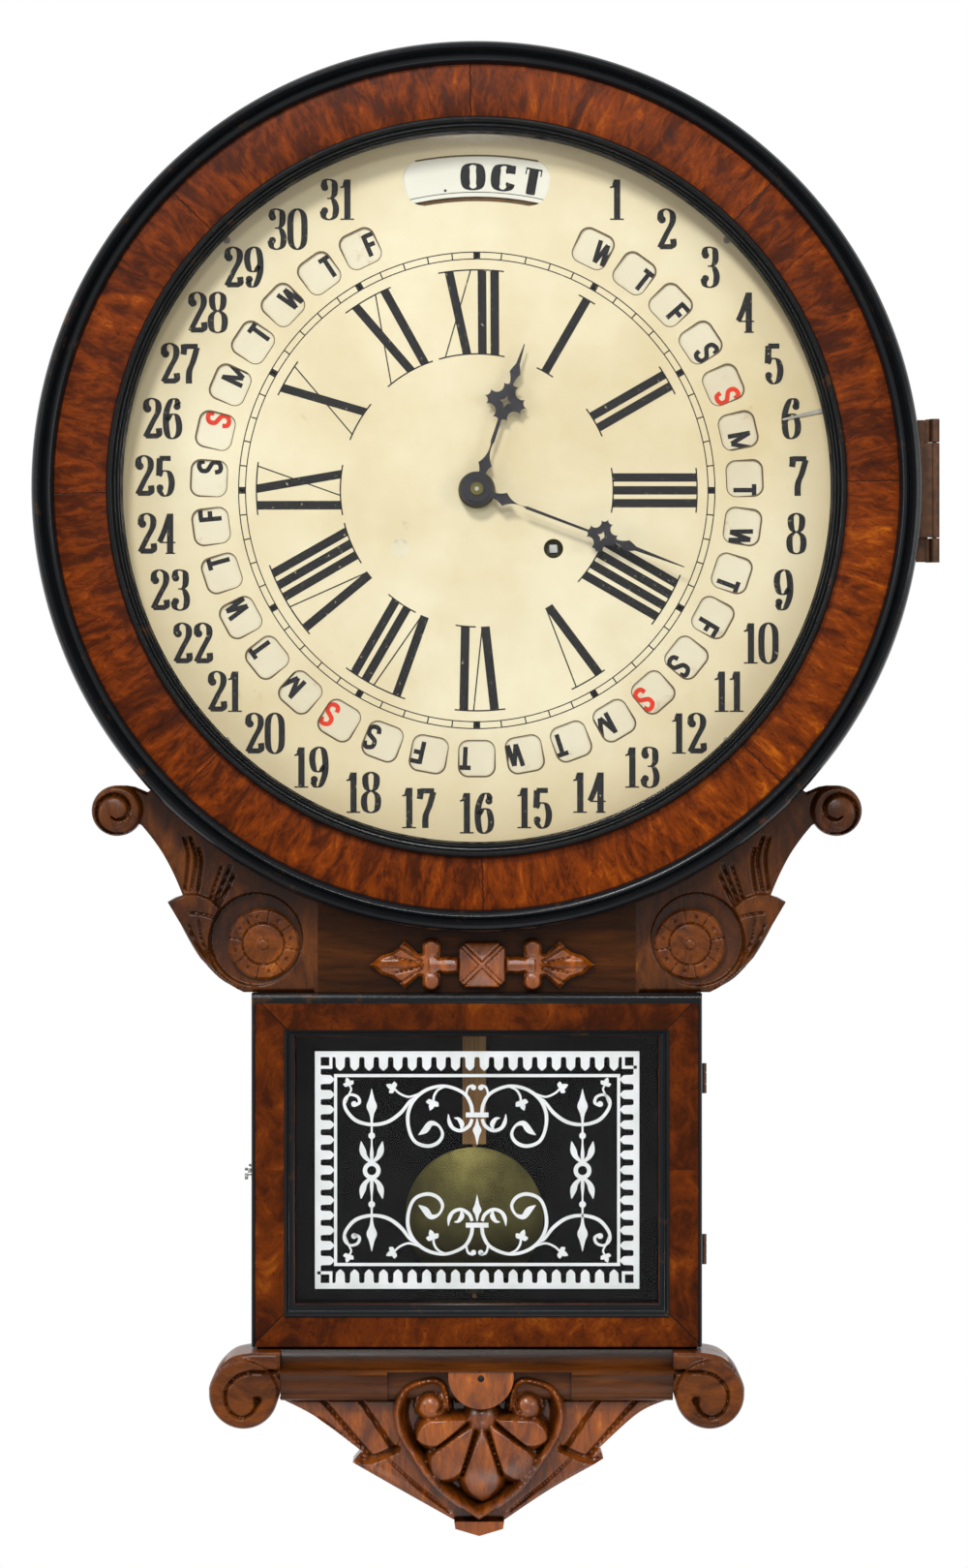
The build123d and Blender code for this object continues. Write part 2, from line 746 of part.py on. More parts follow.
def make_guide_studs():
    studs = []
    for radius, turn in ((136.3, 0.0), (165.1, 0.0), (193.7, 0.0)):
        for step in range(6):
            x, z = polar(radius, 30.0 + 60.0 * step + turn)
            studs.append(disc(x, z, guide_stud_r, board_front, dial_face - dial_thick))
    return joined(studs)


def make_hole_plug():
    return disc(-winding_x, winding_z, winding_hole_r, dial_face - dial_thick, dial_face - 0.1)


def make_calendar_ring(radii, holes, hole_circle, first_angle):
    card = ring(radii[0], radii[1], ring_back, ring_back + ring_thick)
    for step in range(holes):
        x, z = polar(hole_circle, first_angle + 360.0 * step / holes)
        card -= disc(x, z, 0.8, ring_back, ring_back + ring_thick)
    return card


def make_date_ring():
    inner, outer = date_ring_r
    tooth_rise = 1.0
    teeth = 31
    outline = []
    for step in range(teeth):
        start = pointer_angle + 360.0 * step / teeth
        outline.append(polar(outer, start + 1.0))
        outline.append(polar(outer, start + 360.0 / teeth * 0.5))
        outline.append(polar(outer + tooth_rise, start + 360.0 / teeth * 0.96))
    hoop = slab(polygon(outline) - Circle(inner), ring_back, ring_back + ring_thick)
    foot = Pos(0, 209.0) * Rectangle(7.0, 4.4)
    pointer = polygon([(-3.5, 211.2), (-3.5, 206.8), (-1.3, 203.0), (-0.55, 178.4), (0.0, 177.6), (0.55, 178.4),
                       (1.3, 203.0), (3.5, 206.8), (3.5, 211.2)])
    turn = Rot(0, 0, -pointer_angle)
    hoop += slab(turn * foot, ring_back, dial_face + 1.0)
    hoop += slab(turn * pointer, dial_face + 0.4, dial_face + 1.0)
    return hoop


# Hands

def spade(at, half_width, neck, tail, tail_width):
    """A barbed spade across a hand: a hollow flare to two barbs, then a long taper."""
    right = [
        ThreePointArc((neck, at - 8.0), (neck + 0.5, at - 3.2), (half_width, at)),
        ThreePointArc((half_width, at), (tail_width + 1.1, at + 2.6), (tail_width, tail)),
    ]
    left = [mirror(edge, Plane.YZ) for edge in right]
    ends = [Polyline((-neck, at - 8.0), (neck, at - 8.0)), Polyline((-tail_width, tail), (tail_width, tail))]
    return make_face([*right, *left, *ends])


def cross(size):
    """A cross of four arms with cusped ends, round notches between them and a pierced diamond."""
    edges = []
    for arm in range(4):
        turn = Rot(0, 0, 90 * arm)
        end = [
            ThreePointArc((-0.34 * size, 0.80 * size), (-0.13 * size, 0.80 * size), (0, size)),
            ThreePointArc((0, size), (0.13 * size, 0.80 * size), (0.34 * size, 0.80 * size)),
            ThreePointArc((0.34 * size, 0.80 * size), (0.38 * size, 0.38 * size), (0.80 * size, 0.34 * size)),
        ]
        edges += [turn * edge for edge in end]
    outline = make_face(edges)
    tip = 0.30 * size
    hollow = 0.10 * size
    hole = [Rot(0, 0, 90 * arm) * ThreePointArc((0, tip), (hollow, hollow), (tip, 0)) for arm in range(4)]
    return outline - make_face(hole)


def hand_outline(length, first, cross_at, cross_size, second, stem):
    outline = Circle(collet_r)
    outline += spade(first, 4.0, 1.8, first + 14.0, stem)
    outline += polygon([(-stem, first + 13.0), (stem, first + 13.0), (stem * 0.8, cross_at), (-stem * 0.8, cross_at)])
    outline += Pos(0, cross_at) * cross(cross_size)
    outline += spade(second, 3.2, 1.1, second + 5.0, 1.2)
    outline += polygon([(-1.1, cross_at + 0.7 * cross_size), (1.1, cross_at + 0.7 * cross_size), (1.1, second - 3.0),
                        (-1.1, second - 3.0)])
    outline += polygon([(-1.2, second + 4.0), (1.2, second + 4.0), (0.25, length), (-0.25, length)])
    hole_tip = 0.30 * cross_size
    hollow = 0.10 * cross_size
    hole = [Rot(0, 0, 90 * arm) * ThreePointArc((0, hole_tip), (hollow, hollow), (hole_tip, 0)) for arm in range(4)]
    return outline - Pos(0, cross_at) * make_face(hole)


def make_hour_hand():
    outline = hand_outline(hour_length, 15.0, 52.2, 12.6, 69.2, 1.1)
    hand = slab(outline, hour_hand_back, hour_hand_back + hand_thick)
    hand += disc(0, 0, collet_r, hour_hand_back - 1.0, hour_hand_back + 1.6)
    hand -= disc(0, 0, 5.0, 0, 200)
    return Rot(0, hour_angle, 0) * hand


def make_minute_hand():
    outline = hand_outline(minute_length, 16.8, 75.6, 10.2, 90.8, 0.85)
    hand = slab(outline, minute_hand_back, minute_hand_back + hand_thick)
    hand += disc(0, 0, 7.6, minute_hand_back - 1.4, minute_hand_back + 1.9)
    hand -= disc(0, 0, 3.0, 0, 200)
    return Rot(0, minute_angle, 0) * hand


def make_hand_nut():
    top = minute_hand_back + 1.9
    nut = disc(0, 0, 3.6, top, top + 1.6)
    return nut - disc(0, 0, 1.2, top, top + 1.6)


# Movement

def toothed(teeth, module, phase, addendum, dedendum, root_share, tip_share):
    """A wheel outline; one tooth's middle points at the phase, in degrees from +x towards +z."""
    pitch_r = module * teeth / 2
    pitch = 360.0 / teeth
    points = []
    for tooth in range(teeth):
        middle = phase + tooth * pitch
        half_root = pitch * root_share / 2
        half_tip = pitch * tip_share / 2
        for radius, turn in ((pitch_r - dedendum * module, -half_root), (pitch_r + 0.15 * module, -half_root),
                             (pitch_r + addendum * module, -half_tip), (pitch_r + addendum * module, half_tip),
                             (pitch_r + 0.15 * module, half_root), (pitch_r - dedendum * module, half_root)):
            angle = radians(middle + turn)
            points.append((radius * cos(angle), radius * sin(angle)))
    return polygon(points)


def heading(start, end):
    """Degrees from +x towards +z of the line from one centre to another."""
    return degrees(atan2(end[1] - start[1], end[0] - start[0]))


def crossed_out(outline, hub_r, rim_r, arms, spoke):
    """Take the windows out of a wheel, leaving its hub, rim and arms."""
    window = Circle(rim_r) - Circle(hub_r)
    for arm in range(arms):
        turn = 360.0 * arm / arms
        window -= Rot(0, 0, turn) * Pos(rim_r / 2 + 2, 0) * Rectangle(rim_r + 4, spoke)
    return outline - window


def lantern(at, module, direction, back, front, shroud):
    """A lantern pinion: two discs and a ring of wire trundles, with a gap facing the wheel that it meets."""
    pitch_r = module * lantern_trundles / 2
    trundle_r = 0.19 * pi * module
    body = disc(*at, pitch_r + trundle_r + 0.5, back, back + shroud)
    body += disc(*at, pitch_r + trundle_r + 0.5, front - shroud, front)
    for step in range(lantern_trundles):
        angle = radians(direction + 360.0 * (step + 0.5) / lantern_trundles)
        x = at[0] + pitch_r * cos(angle)
        z = at[1] + pitch_r * sin(angle)
        body += disc(x, z, trundle_r, back, front)
    return body


def wheel(at, teeth, module, direction, back, front, hub_r, rim, arms, spoke):
    outline = toothed(teeth, module, direction, 0.85, 1.0, 0.42, 0.12)
    outline = crossed_out(outline, hub_r, module * teeth / 2 - rim, arms, spoke)
    return slab(Pos(*at) * outline, back, front)


def make_centre_arbor():
    at = (0.0, 0.0)
    arbor = disc(*at, arbor_r, back_plate_back, front_plate_back + plate_thick + 0.8)
    arbor += disc(*at, cannon_r, front_plate_back + plate_thick + 0.8, minute_hand_back - 1.4)
    arbor += disc(*at, 3.0, minute_hand_back - 1.4, minute_hand_back + 1.9)
    arbor += disc(*at, 1.2, minute_hand_back + 1.9, minute_hand_back + 4.0)
    arbor += wheel(at, centre_teeth, centre_module, heading(at, third_at), 33.9, 35.1, 6.0, 5.0, 4, 4.0)
    arbor += lantern(at, great_module, heading(at, winding_at), 37.6, 42.8, 0.8)
    cannon_module = 2 * motion_distance / 48
    teeth = toothed(12, cannon_module, heading(at, motion_at) + 15.0, 0.7, 0.9, 0.36, 0.14)
    arbor += slab(teeth, 63.2, 66.8)
    return arbor


def make_great_wheel():
    body = wheel(winding_at, great_teeth, great_module, heading(winding_at, (0, 0)), 39.5, 41.0, 14.0, 7.0, 5, 7.0)
    body += disc(*winding_at, 6.0, 37.5, 41.0)
    body -= disc(*winding_at, 3.0 + running_gap, 30, 50)
    click_x = winding_x + 18.6
    click = polygon([(-3.4, -2.4), (3.0, -2.4), (3.0, 2.4), (-3.4, 1.6), (-5.4, -1.6)])
    body += slab(Pos(click_x, winding_z) * click, 41.0, 43.4)
    return body


def make_winding_arbor():
    arbor = disc(*winding_at, 3.0, back_plate_back, front_plate_back + plate_thick + 0.8)
    arbor += slab(Pos(*winding_at) * Rectangle(4.4, 4.4), front_plate_back + plate_thick + 0.8, dial_face - 1.4)
    points = []
    ratchet_teeth = 18
    for tooth in range(ratchet_teeth):
        start = 2 * pi * tooth / ratchet_teeth
        points.append((12.4 * cos(start), 12.4 * sin(start)))
        points.append((10.4 * cos(start + 0.03), 10.4 * sin(start + 0.03)))
    arbor += slab(Pos(*winding_at) * polygon(points), 41.6, 43.4)
    return arbor


def make_mainspring():
    """A ribbon spiral of half turns whose centres change sides."""
    turns = 9
    ribbon = 0.9
    pitch = 2.6
    inner_edges = []
    outer_edges = []
    radius = 4.6
    x = 0.0
    side = 1
    start = radius
    for half in range(2 * turns):
        for edges, r in ((inner_edges, radius), (outer_edges, radius + ribbon)):
            edges.append(ThreePointArc((x + side * r, 0), (x, side * r), (x - side * r, 0)))
        radius += pitch / 2
        x += side * pitch / 2
        side = -side
    last_inner = inner_edges[-1] @ 1
    last_outer = outer_edges[-1] @ 1
    ends = [Polyline((start, 0), (start + ribbon, 0)), Polyline(last_inner, last_outer)]
    spiral = make_face([*inner_edges, *outer_edges, *ends])
    return slab(Pos(*winding_at) * spiral, 45.0, 58.6)


def make_third_wheel():
    arbor = disc(*third_at, 1.6, back_plate_back, front_plate_back + plate_thick)
    arbor += lantern(third_at, centre_module, heading(third_at, (0, 0)), 32.2, 36.8, 0.7)
    arbor += wheel(third_at, third_teeth, third_module, heading(third_at, escape_at), 50.0, 51.2, 5.0, 4.4, 4, 3.2)
    return arbor


def make_escape_wheel():
    arbor = disc(*escape_at, 1.5, back_plate_back, front_plate_back + plate_thick)
    arbor += lantern(escape_at, third_module, heading(escape_at, third_at), 48.2, 53.0, 0.7)
    points = []
    for tooth in range(escape_teeth):
        start = 2 * pi * tooth / escape_teeth
        points.append((escape_r * cos(start), escape_r * sin(start)))
        points.append(((escape_r - 2.6) * cos(start + 0.05), (escape_r - 2.6) * sin(start + 0.05)))
        points.append(((escape_r - 2.6) * cos(start + 0.11), (escape_r - 2.6) * sin(start + 0.11)))
    outline = crossed_out(polygon(points), 4.0, 16.0, 4, 2.6)
    return arbor + slab(Pos(*escape_at) * outline, 40.0, 41.0)


def make_verge():
    x, z = pivot_at
    verge = disc(x, z, 1.5, 24.4, front_plate_back + plate_thick)
    strip = polygon([(-19.0, -13.6), (-19.0, -10.0), (-3.0, 2.6), (3.0, 2.6), (19.0, -10.0), (19.0, -13.6),
                     (17.6, -13.6), (16.8, -10.8), (2.0, -1.6), (-2.0, -1.6), (-16.8, -10.8), (-17.6, -13.6)])
    verge += slab(Pos(x, z) * strip, 39.0, 42.0)
    verge += slab(Pos(x, z - 27.0) * Rectangle(3.0, 54.0), 24.4, 25.6)
    verge += slab(Pos(x, z - 54.0) * Rectangle(18.6, 3.0), 24.4, 25.6)
    for side in (-1, 1):
        verge += disc(x + side * (rod_width / 2 + 1.4), z - 54.0, 1.0, 16.0, 25.6)
    return verge


def make_hour_wheel():
    module = 2 * motion_distance / 50
    pipe = disc(0, 0, 5.0, 67.4, hour_hand_back + 1.6)
    teeth = toothed(40, module, heading((0, 0), motion_at), 0.7, 0.9, 0.36, 0.14)
    pipe += slab(teeth, 68.0, 69.2)
    day_module = 2 * day_distance / 60
    pipe += slab(toothed(20, day_module, heading((0, 0), day_at), 0.7, 0.9, 0.36, 0.14), 72.4, 73.8)
    pipe += disc(0, 0, 10.5, 85.4, 86.2)
    return pipe - disc(0, 0, cannon_r + running_gap, 60, 100)


def make_motion_wheel():
    cannon_module = 2 * motion_distance / 48
    hour_module = 2 * motion_distance / 50
    to_centre = heading(motion_at, (0, 0))
    teeth = toothed(36, cannon_module, to_centre, 0.7, 0.9, 0.36, 0.14)
    body = slab(Pos(*motion_at) * teeth, 64.2, 65.6)
    leaves = toothed(10, hour_module, to_centre + 18.0, 0.7, 0.9, 0.36, 0.14)
    body += slab(Pos(*motion_at) * leaves, 65.6, 70.4)
    return body - disc(*motion_at, 1.5 + running_gap, 60, 80)


def make_day_wheel():
    day_module = 2 * day_distance / 60
    teeth = toothed(40, day_module, heading(day_at, (0, 0)) + 4.5, 0.7, 0.9, 0.36, 0.14)
    body = slab(Pos(*day_at) * teeth, 72.4, 73.8)
    body += disc(day_at[0] + 16.0, day_at[1], 1.1, 69.8, 73.8)
    return body - disc(*day_at, 1.5 + running_gap, 60, 80)


def lever_tip(angle):
    return lever_at[0] + lever_length * cos(radians(angle)), lever_at[1] + lever_length * sin(radians(angle))


def make_date_lever():
    arm = Pos(lever_length / 2, 0) * Rectangle(lever_length, 5.0)
    arm += Circle(5.0)
    arm += Pos(lever_length, 0) * Circle(2.5)
    lever = slab(arm, 69.9, 71.1)
    lever += disc(lever_length, 0, 1.2, 69.9, 82.0)
    lever -= disc(0, 0, 1.5 + running_gap, 60, 80)
    return Pos(lever_at[0], 0, lever_at[1]) * Rot(0, -lever_angle, 0) * lever


plate_outline = [(-42, 104), (42, 104), (72, 20), (72, -100), (50, -100), (-42, -72)]


def make_movement_plates():
    plates = []
    arbors = [((0, 0), arbor_r), (winding_at, 3.0), (third_at, 1.6), (escape_at, 1.5), (pivot_at, 1.5)]
    for back in (back_plate_back, front_plate_back):
        plate = slab(polygon(plate_outline), back, back + plate_thick)
        for centre, radius in arbors:
            plate -= disc(*centre, radius + running_gap, back, back + plate_thick)
        for x, z in pillar_places:
            plate -= disc(x, z, 2.5, back, back + plate_thick)
        plates.append(plate)
    for centre, radius, end in ((motion_at, 1.5, 71.4), (day_at, 1.5, 74.8), (lever_at, 1.5, 72.0)):
        plates[1] += disc(*centre, radius, front_plate_back, end)
    return joined(plates)


def make_pillars():
    pillars = []
    for x, z in pillar_places:
        pillar = disc(x, z, 4.0, backboard_thick, back_plate_back)
        pillar += disc(x, z, 2.0, 4.0, backboard_thick)
        pillar += disc(x, z, 2.5, back_plate_back, front_plate_back + plate_thick + 1.0)
        pillar += disc(x, z, 4.0, back_plate_back + plate_thick, front_plate_back)
        pillars.append(pillar)
    return joined(pillars)


def make_suspension_post():
    x, z = pivot_at
    post = block(x - 6, x + 6, 14.0, back_plate_back, z + 4.0, z + 10.0)
    post += block(x - 6, x + 6, 14.0, 23.6, z - 3.5, z + 4.0)
    post -= block(x - 1.2, x + 1.2, 13.0, 23.6, z - 4.0, z + 7.0)
    post -= disc(x, z, 0.9 + running_gap, 13.0, 23.6)
    return post


def make_suspension_spring():
    x, z = pivot_at
    ribbon = block(x - 0.15, x + 0.15, 16.6, 21.4, rod_top - 6.0, z)
    return ribbon + disc(x, z, 0.9, 14.4, 23.2)


def make_pendulum_rod():
    half = rod_width / 2
    middle = rod_back + rod_thick / 2
    rod = block(pendulum_x - half, pendulum_x + half, rod_back, rod_back + rod_thick, rod_end, 30.0)
    taper = polygon([(-half, 30.0), (half, 30.0), (4.0, rod_top), (-4.0, rod_top)])
    rod += slab(Pos(pendulum_x, 0) * taper, rod_back, rod_back + rod_thick)
    rod -= block(pendulum_x - 0.15, pendulum_x + 0.15, 16.6, 21.4, rod_top - 6.0, rod_top)
    rod += post_z(pendulum_x, middle, -466.0, rod_end, 1.2)
    return rod


def make_bob():
    middle = rod_back + rod_thick / 2
    rim = 1.0
    bulge = bob_thick / 2
    half = make_face([
        Polyline((0, -bulge), (0, bulge)),
        ThreePointArc((0, bulge), (bob_r * 0.52, bulge * 0.76), (bob_r, rim)),
        Polyline((bob_r, rim), (bob_r, -rim)),
        ThreePointArc((bob_r, -rim), (bob_r * 0.52, -bulge * 0.76), (0, -bulge)),
    ])
    bob = Pos(pendulum_x, -middle, bob_z) * revolve(half, Axis.Y)
    return bob - post_z(pendulum_x, middle, -470.0, -370.0, 1.2)


def make_rating_nut():
    middle = rod_back + rod_thick / 2
    bottom = bob_z - bob_r
    nut = post_z(pendulum_x, middle, bottom - 4.0, bottom, 5.0)
    return nut - post_z(pendulum_x, middle, bottom - 5.0, bottom + 1.0, 1.2)


def make_wood_screws():
    screws = []
    hanger_z = hanger_hole_z - 12.0
    for z in (hanger_z - 20.0, hanger_z + 23.0):
        screws.append(disc(0, z, 3.0, 0, 1.0) + disc(0, z, 1.5, 1.0, 6.0))
    screws += make_dial_screws()
    for x, z in ((-box_half, door_hook_z), (-drum_r, 0.0)):
        inner = x + 7.0
        shank = post_x(x - 4.4, inner, hook_depth, z, 1.5)
        screws.append(shank + post_x(x - 5.6, x - 4.4, hook_depth, z, 3.0))
    return joined(screws)


write(make_backboard(), "backboard")
write(make_drum(), "head_drum")
write(make_box_sides(), "box_sides")
write(make_throat_board(), "throat_board")
ear = make_ear()
write(joined([ear, mirrored(ear)]), "ears")
rosette = make_rosette()
write(joined([rosette, mirrored(rosette)]), "ear_rosettes")
write(joined([make_throat_leaf(-1), make_throat_block(), make_throat_leaf(1)]), "throat_ornament")
write(make_shelf(), "shelf_moulding")
scroll = make_shelf_scroll()
write(joined([scroll, mirrored(scroll)]), "shelf_scrolls")
write(make_apron(), "apron_bracket")
write(make_cartouche(), "cartouche_scroll")
write(make_shell(), "shell_carving")
write(make_keystone(), "keystone_boss")
write(make_finial(), "drop_finial")
write(make_hanger(), "wall_hanger")
write(make_wood_screws(), "wood_screws")
write(joined([make_bezel_hinge_case(), *make_door_hinges_case()]), "case_hinge_plates")

write(make_bezel_ring(), "bezel_ring")
write(make_outer_moulding(), "bezel_outer_moulding")
write(make_inner_moulding(), "bezel_inner_moulding")
write(make_bezel_glass(), "bezel_glass")
write(make_bezel_putty(), "bezel_putty")
write(make_bezel_hinge_leaf(), "bezel_hinge_leaf")
write(make_catch_stud_bezel(), "bezel_catch_stud")
write(make_hook(-drum_r - 2.6, 0, 1.4, 21.0), "bezel_hook")

write(make_door_frame(), "door_frame")
write(make_door_bead(), "door_outer_bead")
write(make_door_moulding(), "door_inner_moulding")
write(make_door_glass(), "door_glass")
write(make_door_hinge_leaves(), "door_hinge_leaves")
write(make_catch_stud_door(), "door_catch_stud")
write(make_hook(-129.0, door_hook_z, 1.2, hook_length), "door_hook")

write(make_dial_board(), "dial_board")
write(make_dial_plate(), "dial_plate")
write(make_guide_studs(), "ring_guide_studs")
write(make_hole_plug(), "hole_plug")
write(make_calendar_ring(weekday_ring_r, 35, 159.0, 20.6), "weekday_ring")
write(make_calendar_ring(month_ring_r, 12, 171.0, 354.0), "month_ring")
write(make_date_ring(), "date_ring")

write(make_hour_hand(), "hour_hand")
write(make_minute_hand(), "minute_hand")
write(make_hand_nut(), "hand_nut")
write(make_centre_arbor(), "centre_arbor")
write(make_hour_wheel(), "hour_wheel")
write(make_motion_wheel(), "motion_wheel")
write(make_day_wheel(), "day_wheel")
write(make_date_lever(), "date_lever")
write(make_great_wheel(), "great_wheel")
write(make_mainspring(), "mainspring")
write(make_winding_arbor(), "winding_arbor")
write(make_third_wheel(), "third_wheel")
write(make_escape_wheel(), "escape_wheel")
write(make_verge(), "verge_crutch")
write(make_movement_plates(), "movement_plates")
write(make_pillars(), "movement_pillars")
write(make_suspension_post(), "suspension_post")
write(make_suspension_spring(), "suspension_spring")
write(make_pendulum_rod(), "pendulum_rod")
write(make_bob(), "pendulum_bob")
write(make_rating_nut(), "rating_nut")
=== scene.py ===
import bpy
import bmesh
import json
import math
import numpy as np
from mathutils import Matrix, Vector, geometry


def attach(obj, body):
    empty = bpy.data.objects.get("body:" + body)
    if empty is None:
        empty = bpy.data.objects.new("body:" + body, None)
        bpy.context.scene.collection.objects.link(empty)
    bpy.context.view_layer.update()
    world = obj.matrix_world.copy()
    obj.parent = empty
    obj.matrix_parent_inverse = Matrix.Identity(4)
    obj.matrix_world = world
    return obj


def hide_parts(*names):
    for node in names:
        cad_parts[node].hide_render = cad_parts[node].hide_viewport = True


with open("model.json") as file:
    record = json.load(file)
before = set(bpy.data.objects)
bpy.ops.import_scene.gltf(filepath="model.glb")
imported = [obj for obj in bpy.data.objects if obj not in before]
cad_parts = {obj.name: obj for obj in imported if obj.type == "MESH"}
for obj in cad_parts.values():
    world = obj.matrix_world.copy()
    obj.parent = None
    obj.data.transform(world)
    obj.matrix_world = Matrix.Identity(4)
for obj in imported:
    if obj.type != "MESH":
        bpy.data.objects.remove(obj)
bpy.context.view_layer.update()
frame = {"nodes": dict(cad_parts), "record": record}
print("frame loaded")

# Camera and light: straight at the clock, a little below the middle of the head

view = {"place": (0.0041, -2.318, -0.1665), "lens": 90.5, "reach": 20, "lampAim": (0, 0, -0.15)}
scene = bpy.context.scene
cameraData = bpy.data.cameras.new("camera")
cameraData.lens = view["lens"]
cameraData.clip_end = view["reach"]
camera = bpy.data.objects.new("camera", cameraData)
camera.location = view["place"]
camera.rotation_euler = (math.radians(90), 0, 0)
scene.collection.objects.link(camera)
scene.camera = camera
scene.view_settings.view_transform = "Standard"

lights = [
    {"name": "keyAbove", "place": (-0.45, -2.0, 1.3), "size": 0.42, "power": 29.5},
    {"name": "frontAbove", "place": (0.05, -2.3, 0.68), "size": 0.24, "power": 7.6},
    {"name": "windowLeft", "place": (-1.7, -1.3, 0.3), "size": 0.7, "power": 9.6},
    {"name": "windowRight", "place": (1.6, -1.6, 0.1), "size": 0.6, "power": 7.6},
    {"name": "lowFill", "place": (0.2, -1.9, -1.9), "size": 0.7, "power": 5},
]
for lamp in lights:
    lampData = bpy.data.lights.new(lamp["name"], "AREA")
    lampData.size = lamp["size"]
    lampData.energy = lamp["power"]
    lampObject = bpy.data.objects.new(lamp["name"], lampData)
    lampObject.location = lamp["place"]
    lampObject.rotation_euler = (Vector(view["lampAim"]) - Vector(lamp["place"])).to_track_quat("-Z", "Y").to_euler()
    scene.collection.objects.link(lampObject)

room = {"light": (0.60, 0.62, 0.66, 1), "strength": 0.6, "seen": (1, 1, 1, 1)}
world = bpy.data.worlds.new("room")
scene.world = world
world.use_nodes = True
worldTree = world.node_tree
worldTree.nodes.clear()
kinds = ("Background", "Background", "LightPath", "MixShader", "OutputWorld")
dim, white, rays, pick, worldOut = (worldTree.nodes.new("ShaderNode" + kind) for kind in kinds)
dim.inputs[0].default_value = room["light"]
dim.inputs[1].default_value = room["strength"]
white.inputs[0].default_value = room["seen"]
seen = rays.outputs["Is Camera Ray"]
for kind in ("Is Glossy Ray", "Is Transmission Ray"):  # glass and metal show the white too
    either = worldTree.nodes.new("ShaderNodeMath")
    either.operation = "MAXIMUM"
    worldTree.links.new(seen, either.inputs[0])
    worldTree.links.new(rays.outputs[kind], either.inputs[1])
    seen = either.outputs[0]
for spot, source in enumerate((seen, dim.outputs[0], white.outputs[0])):
    worldTree.links.new(source, pick.inputs[spot])
worldTree.links.new(pick.outputs[0], worldOut.inputs[0])
print("camera and light set")


# Shader values with plain arithmetic

def plug(tree, value, socket):
    if isinstance(value, Shade):
        tree.links.new(value.socket, socket)
    else:
        socket.default_value = value


class Shade:
    def __init__(self, tree, socket):
        self.tree = tree
        self.socket = socket

    def node(self, kind, inputs, out=0, **settings):  # any other node, with this value at hand
        made = self.tree.nodes.new(kind)
        for key, value in settings.items():
            setattr(made, key, value)
        for key, value in inputs.items():
            plug(self.tree, value, made.inputs[key])
        return Shade(self.tree, made.outputs[out])

    def maths(self, operation, *others):
        inputs = {0: self}
        for spot, other in enumerate(others):
            inputs[spot + 1] = other
        return self.node("ShaderNodeMath", inputs, operation=operation)

    def __add__(self, other):
        return self.maths("ADD", other)

    def __sub__(self, other):
        return self.maths("SUBTRACT", other)

    def __mul__(self, other):
        return self.maths("MULTIPLY", other)

    def __rsub__(self, other):
        return self.node("ShaderNodeMath", {0: other, 1: self}, operation="SUBTRACT")

    __radd__ = __add__
    __rmul__ = __mul__

    def __pow__(self, other):
        return self.maths("POWER", other)

    def part(self, axis):  # one coordinate of a vector
        return self.node("ShaderNodeSeparateXYZ", {0: self}, out=axis)

    def scaled(self, x, y, z, shift=(0, 0, 0)):
        return self.node("ShaderNodeMapping", {"Vector": self, "Scale": (x, y, z), "Location": shift})

    def noise(self, scale, detail=4, rough=0.6, twist=0.0):
        inputs = {"Vector": self, "Scale": scale, "Detail": detail, "Roughness": rough, "Distortion": twist}
        return self.node("ShaderNodeTexNoise", inputs)

    def between(self, low, high):  # 0 below low, 1 above high
        return self.node("ShaderNodeMapRange", {"Value": self, "From Min": low, "From Max": high})

    def ramp(self, *stops):
        made = self.tree.nodes.new("ShaderNodeValToRGB")
        plug(self.tree, self, made.inputs[0])
        stripe = made.color_ramp.elements
        for spot, (place, colour) in enumerate(stops):
            element = stripe[spot] if spot < 2 else stripe.new(place)
            element.position = place
            element.color = colour
        return Shade(self.tree, made.outputs[0])

    def over(self, under, colour):  # colour laid over another where this value is 1
        made = self.tree.nodes.new("ShaderNodeMix")
        made.data_type = "RGBA"
        plug(self.tree, self, made.inputs[0])
        plug(self.tree, under, made.inputs[6])
        plug(self.tree, colour, made.inputs[7])
        return Shade(self.tree, made.outputs[2])


def paint(red, green, blue):  # screen colour to a linear one
    out = []
    for value in (red, green, blue):
        value = value / 255
        out.append(value / 12.92 if value <= 0.04045 else ((value + 0.055) / 1.055) ** 2.4)
    return (*out, 1)


def newFinish(name):
    material = bpy.data.materials.new(name)
    material.use_nodes = True
    tree = material.node_tree
    tree.nodes.clear()
    where = tree.nodes.new("ShaderNodeTexCoord")
    return material, Shade(tree, where.outputs["Object"])


def finishOf(material, bump=None, bumpSize=0.0005, bumpForce=0.4, **looks):
    tree = material.node_tree
    surface = tree.nodes.new("ShaderNodeBsdfPrincipled")
    out = tree.nodes.new("ShaderNodeOutputMaterial")
    for key, value in looks.items():
        plug(tree, value, surface.inputs[key.replace("_", " ")])
    if bump is not None:
        bumped = tree.nodes.new("ShaderNodeBump")
        bumped.inputs["Strength"].default_value = bumpForce
        bumped.inputs["Distance"].default_value = bumpSize
        plug(tree, bump, bumped.inputs["Height"])
        tree.links.new(bumped.outputs[0], surface.inputs["Normal"])
    tree.links.new(surface.outputs[0], out.inputs[0])
    return material


def makeEbony(name):
    material, place = newFinish(name)
    wear = place.noise(55, 6, 0.7)
    fine = place.noise(300, 3, 0.6)
    colour = wear.ramp((0.0, paint(14, 17, 19)), (0.60, paint(22, 24, 26)), (0.68, paint(64, 42, 22)),
                       (0.82, paint(30, 24, 20)))
    rough = fine.between(0.3, 0.8) * 0.10 + 0.13
    return finishOf(material, wear + fine * 0.2, 0.0003, 0.25, Base_Color=colour, Roughness=rough,
                    Specular_IOR_Level=0.12)


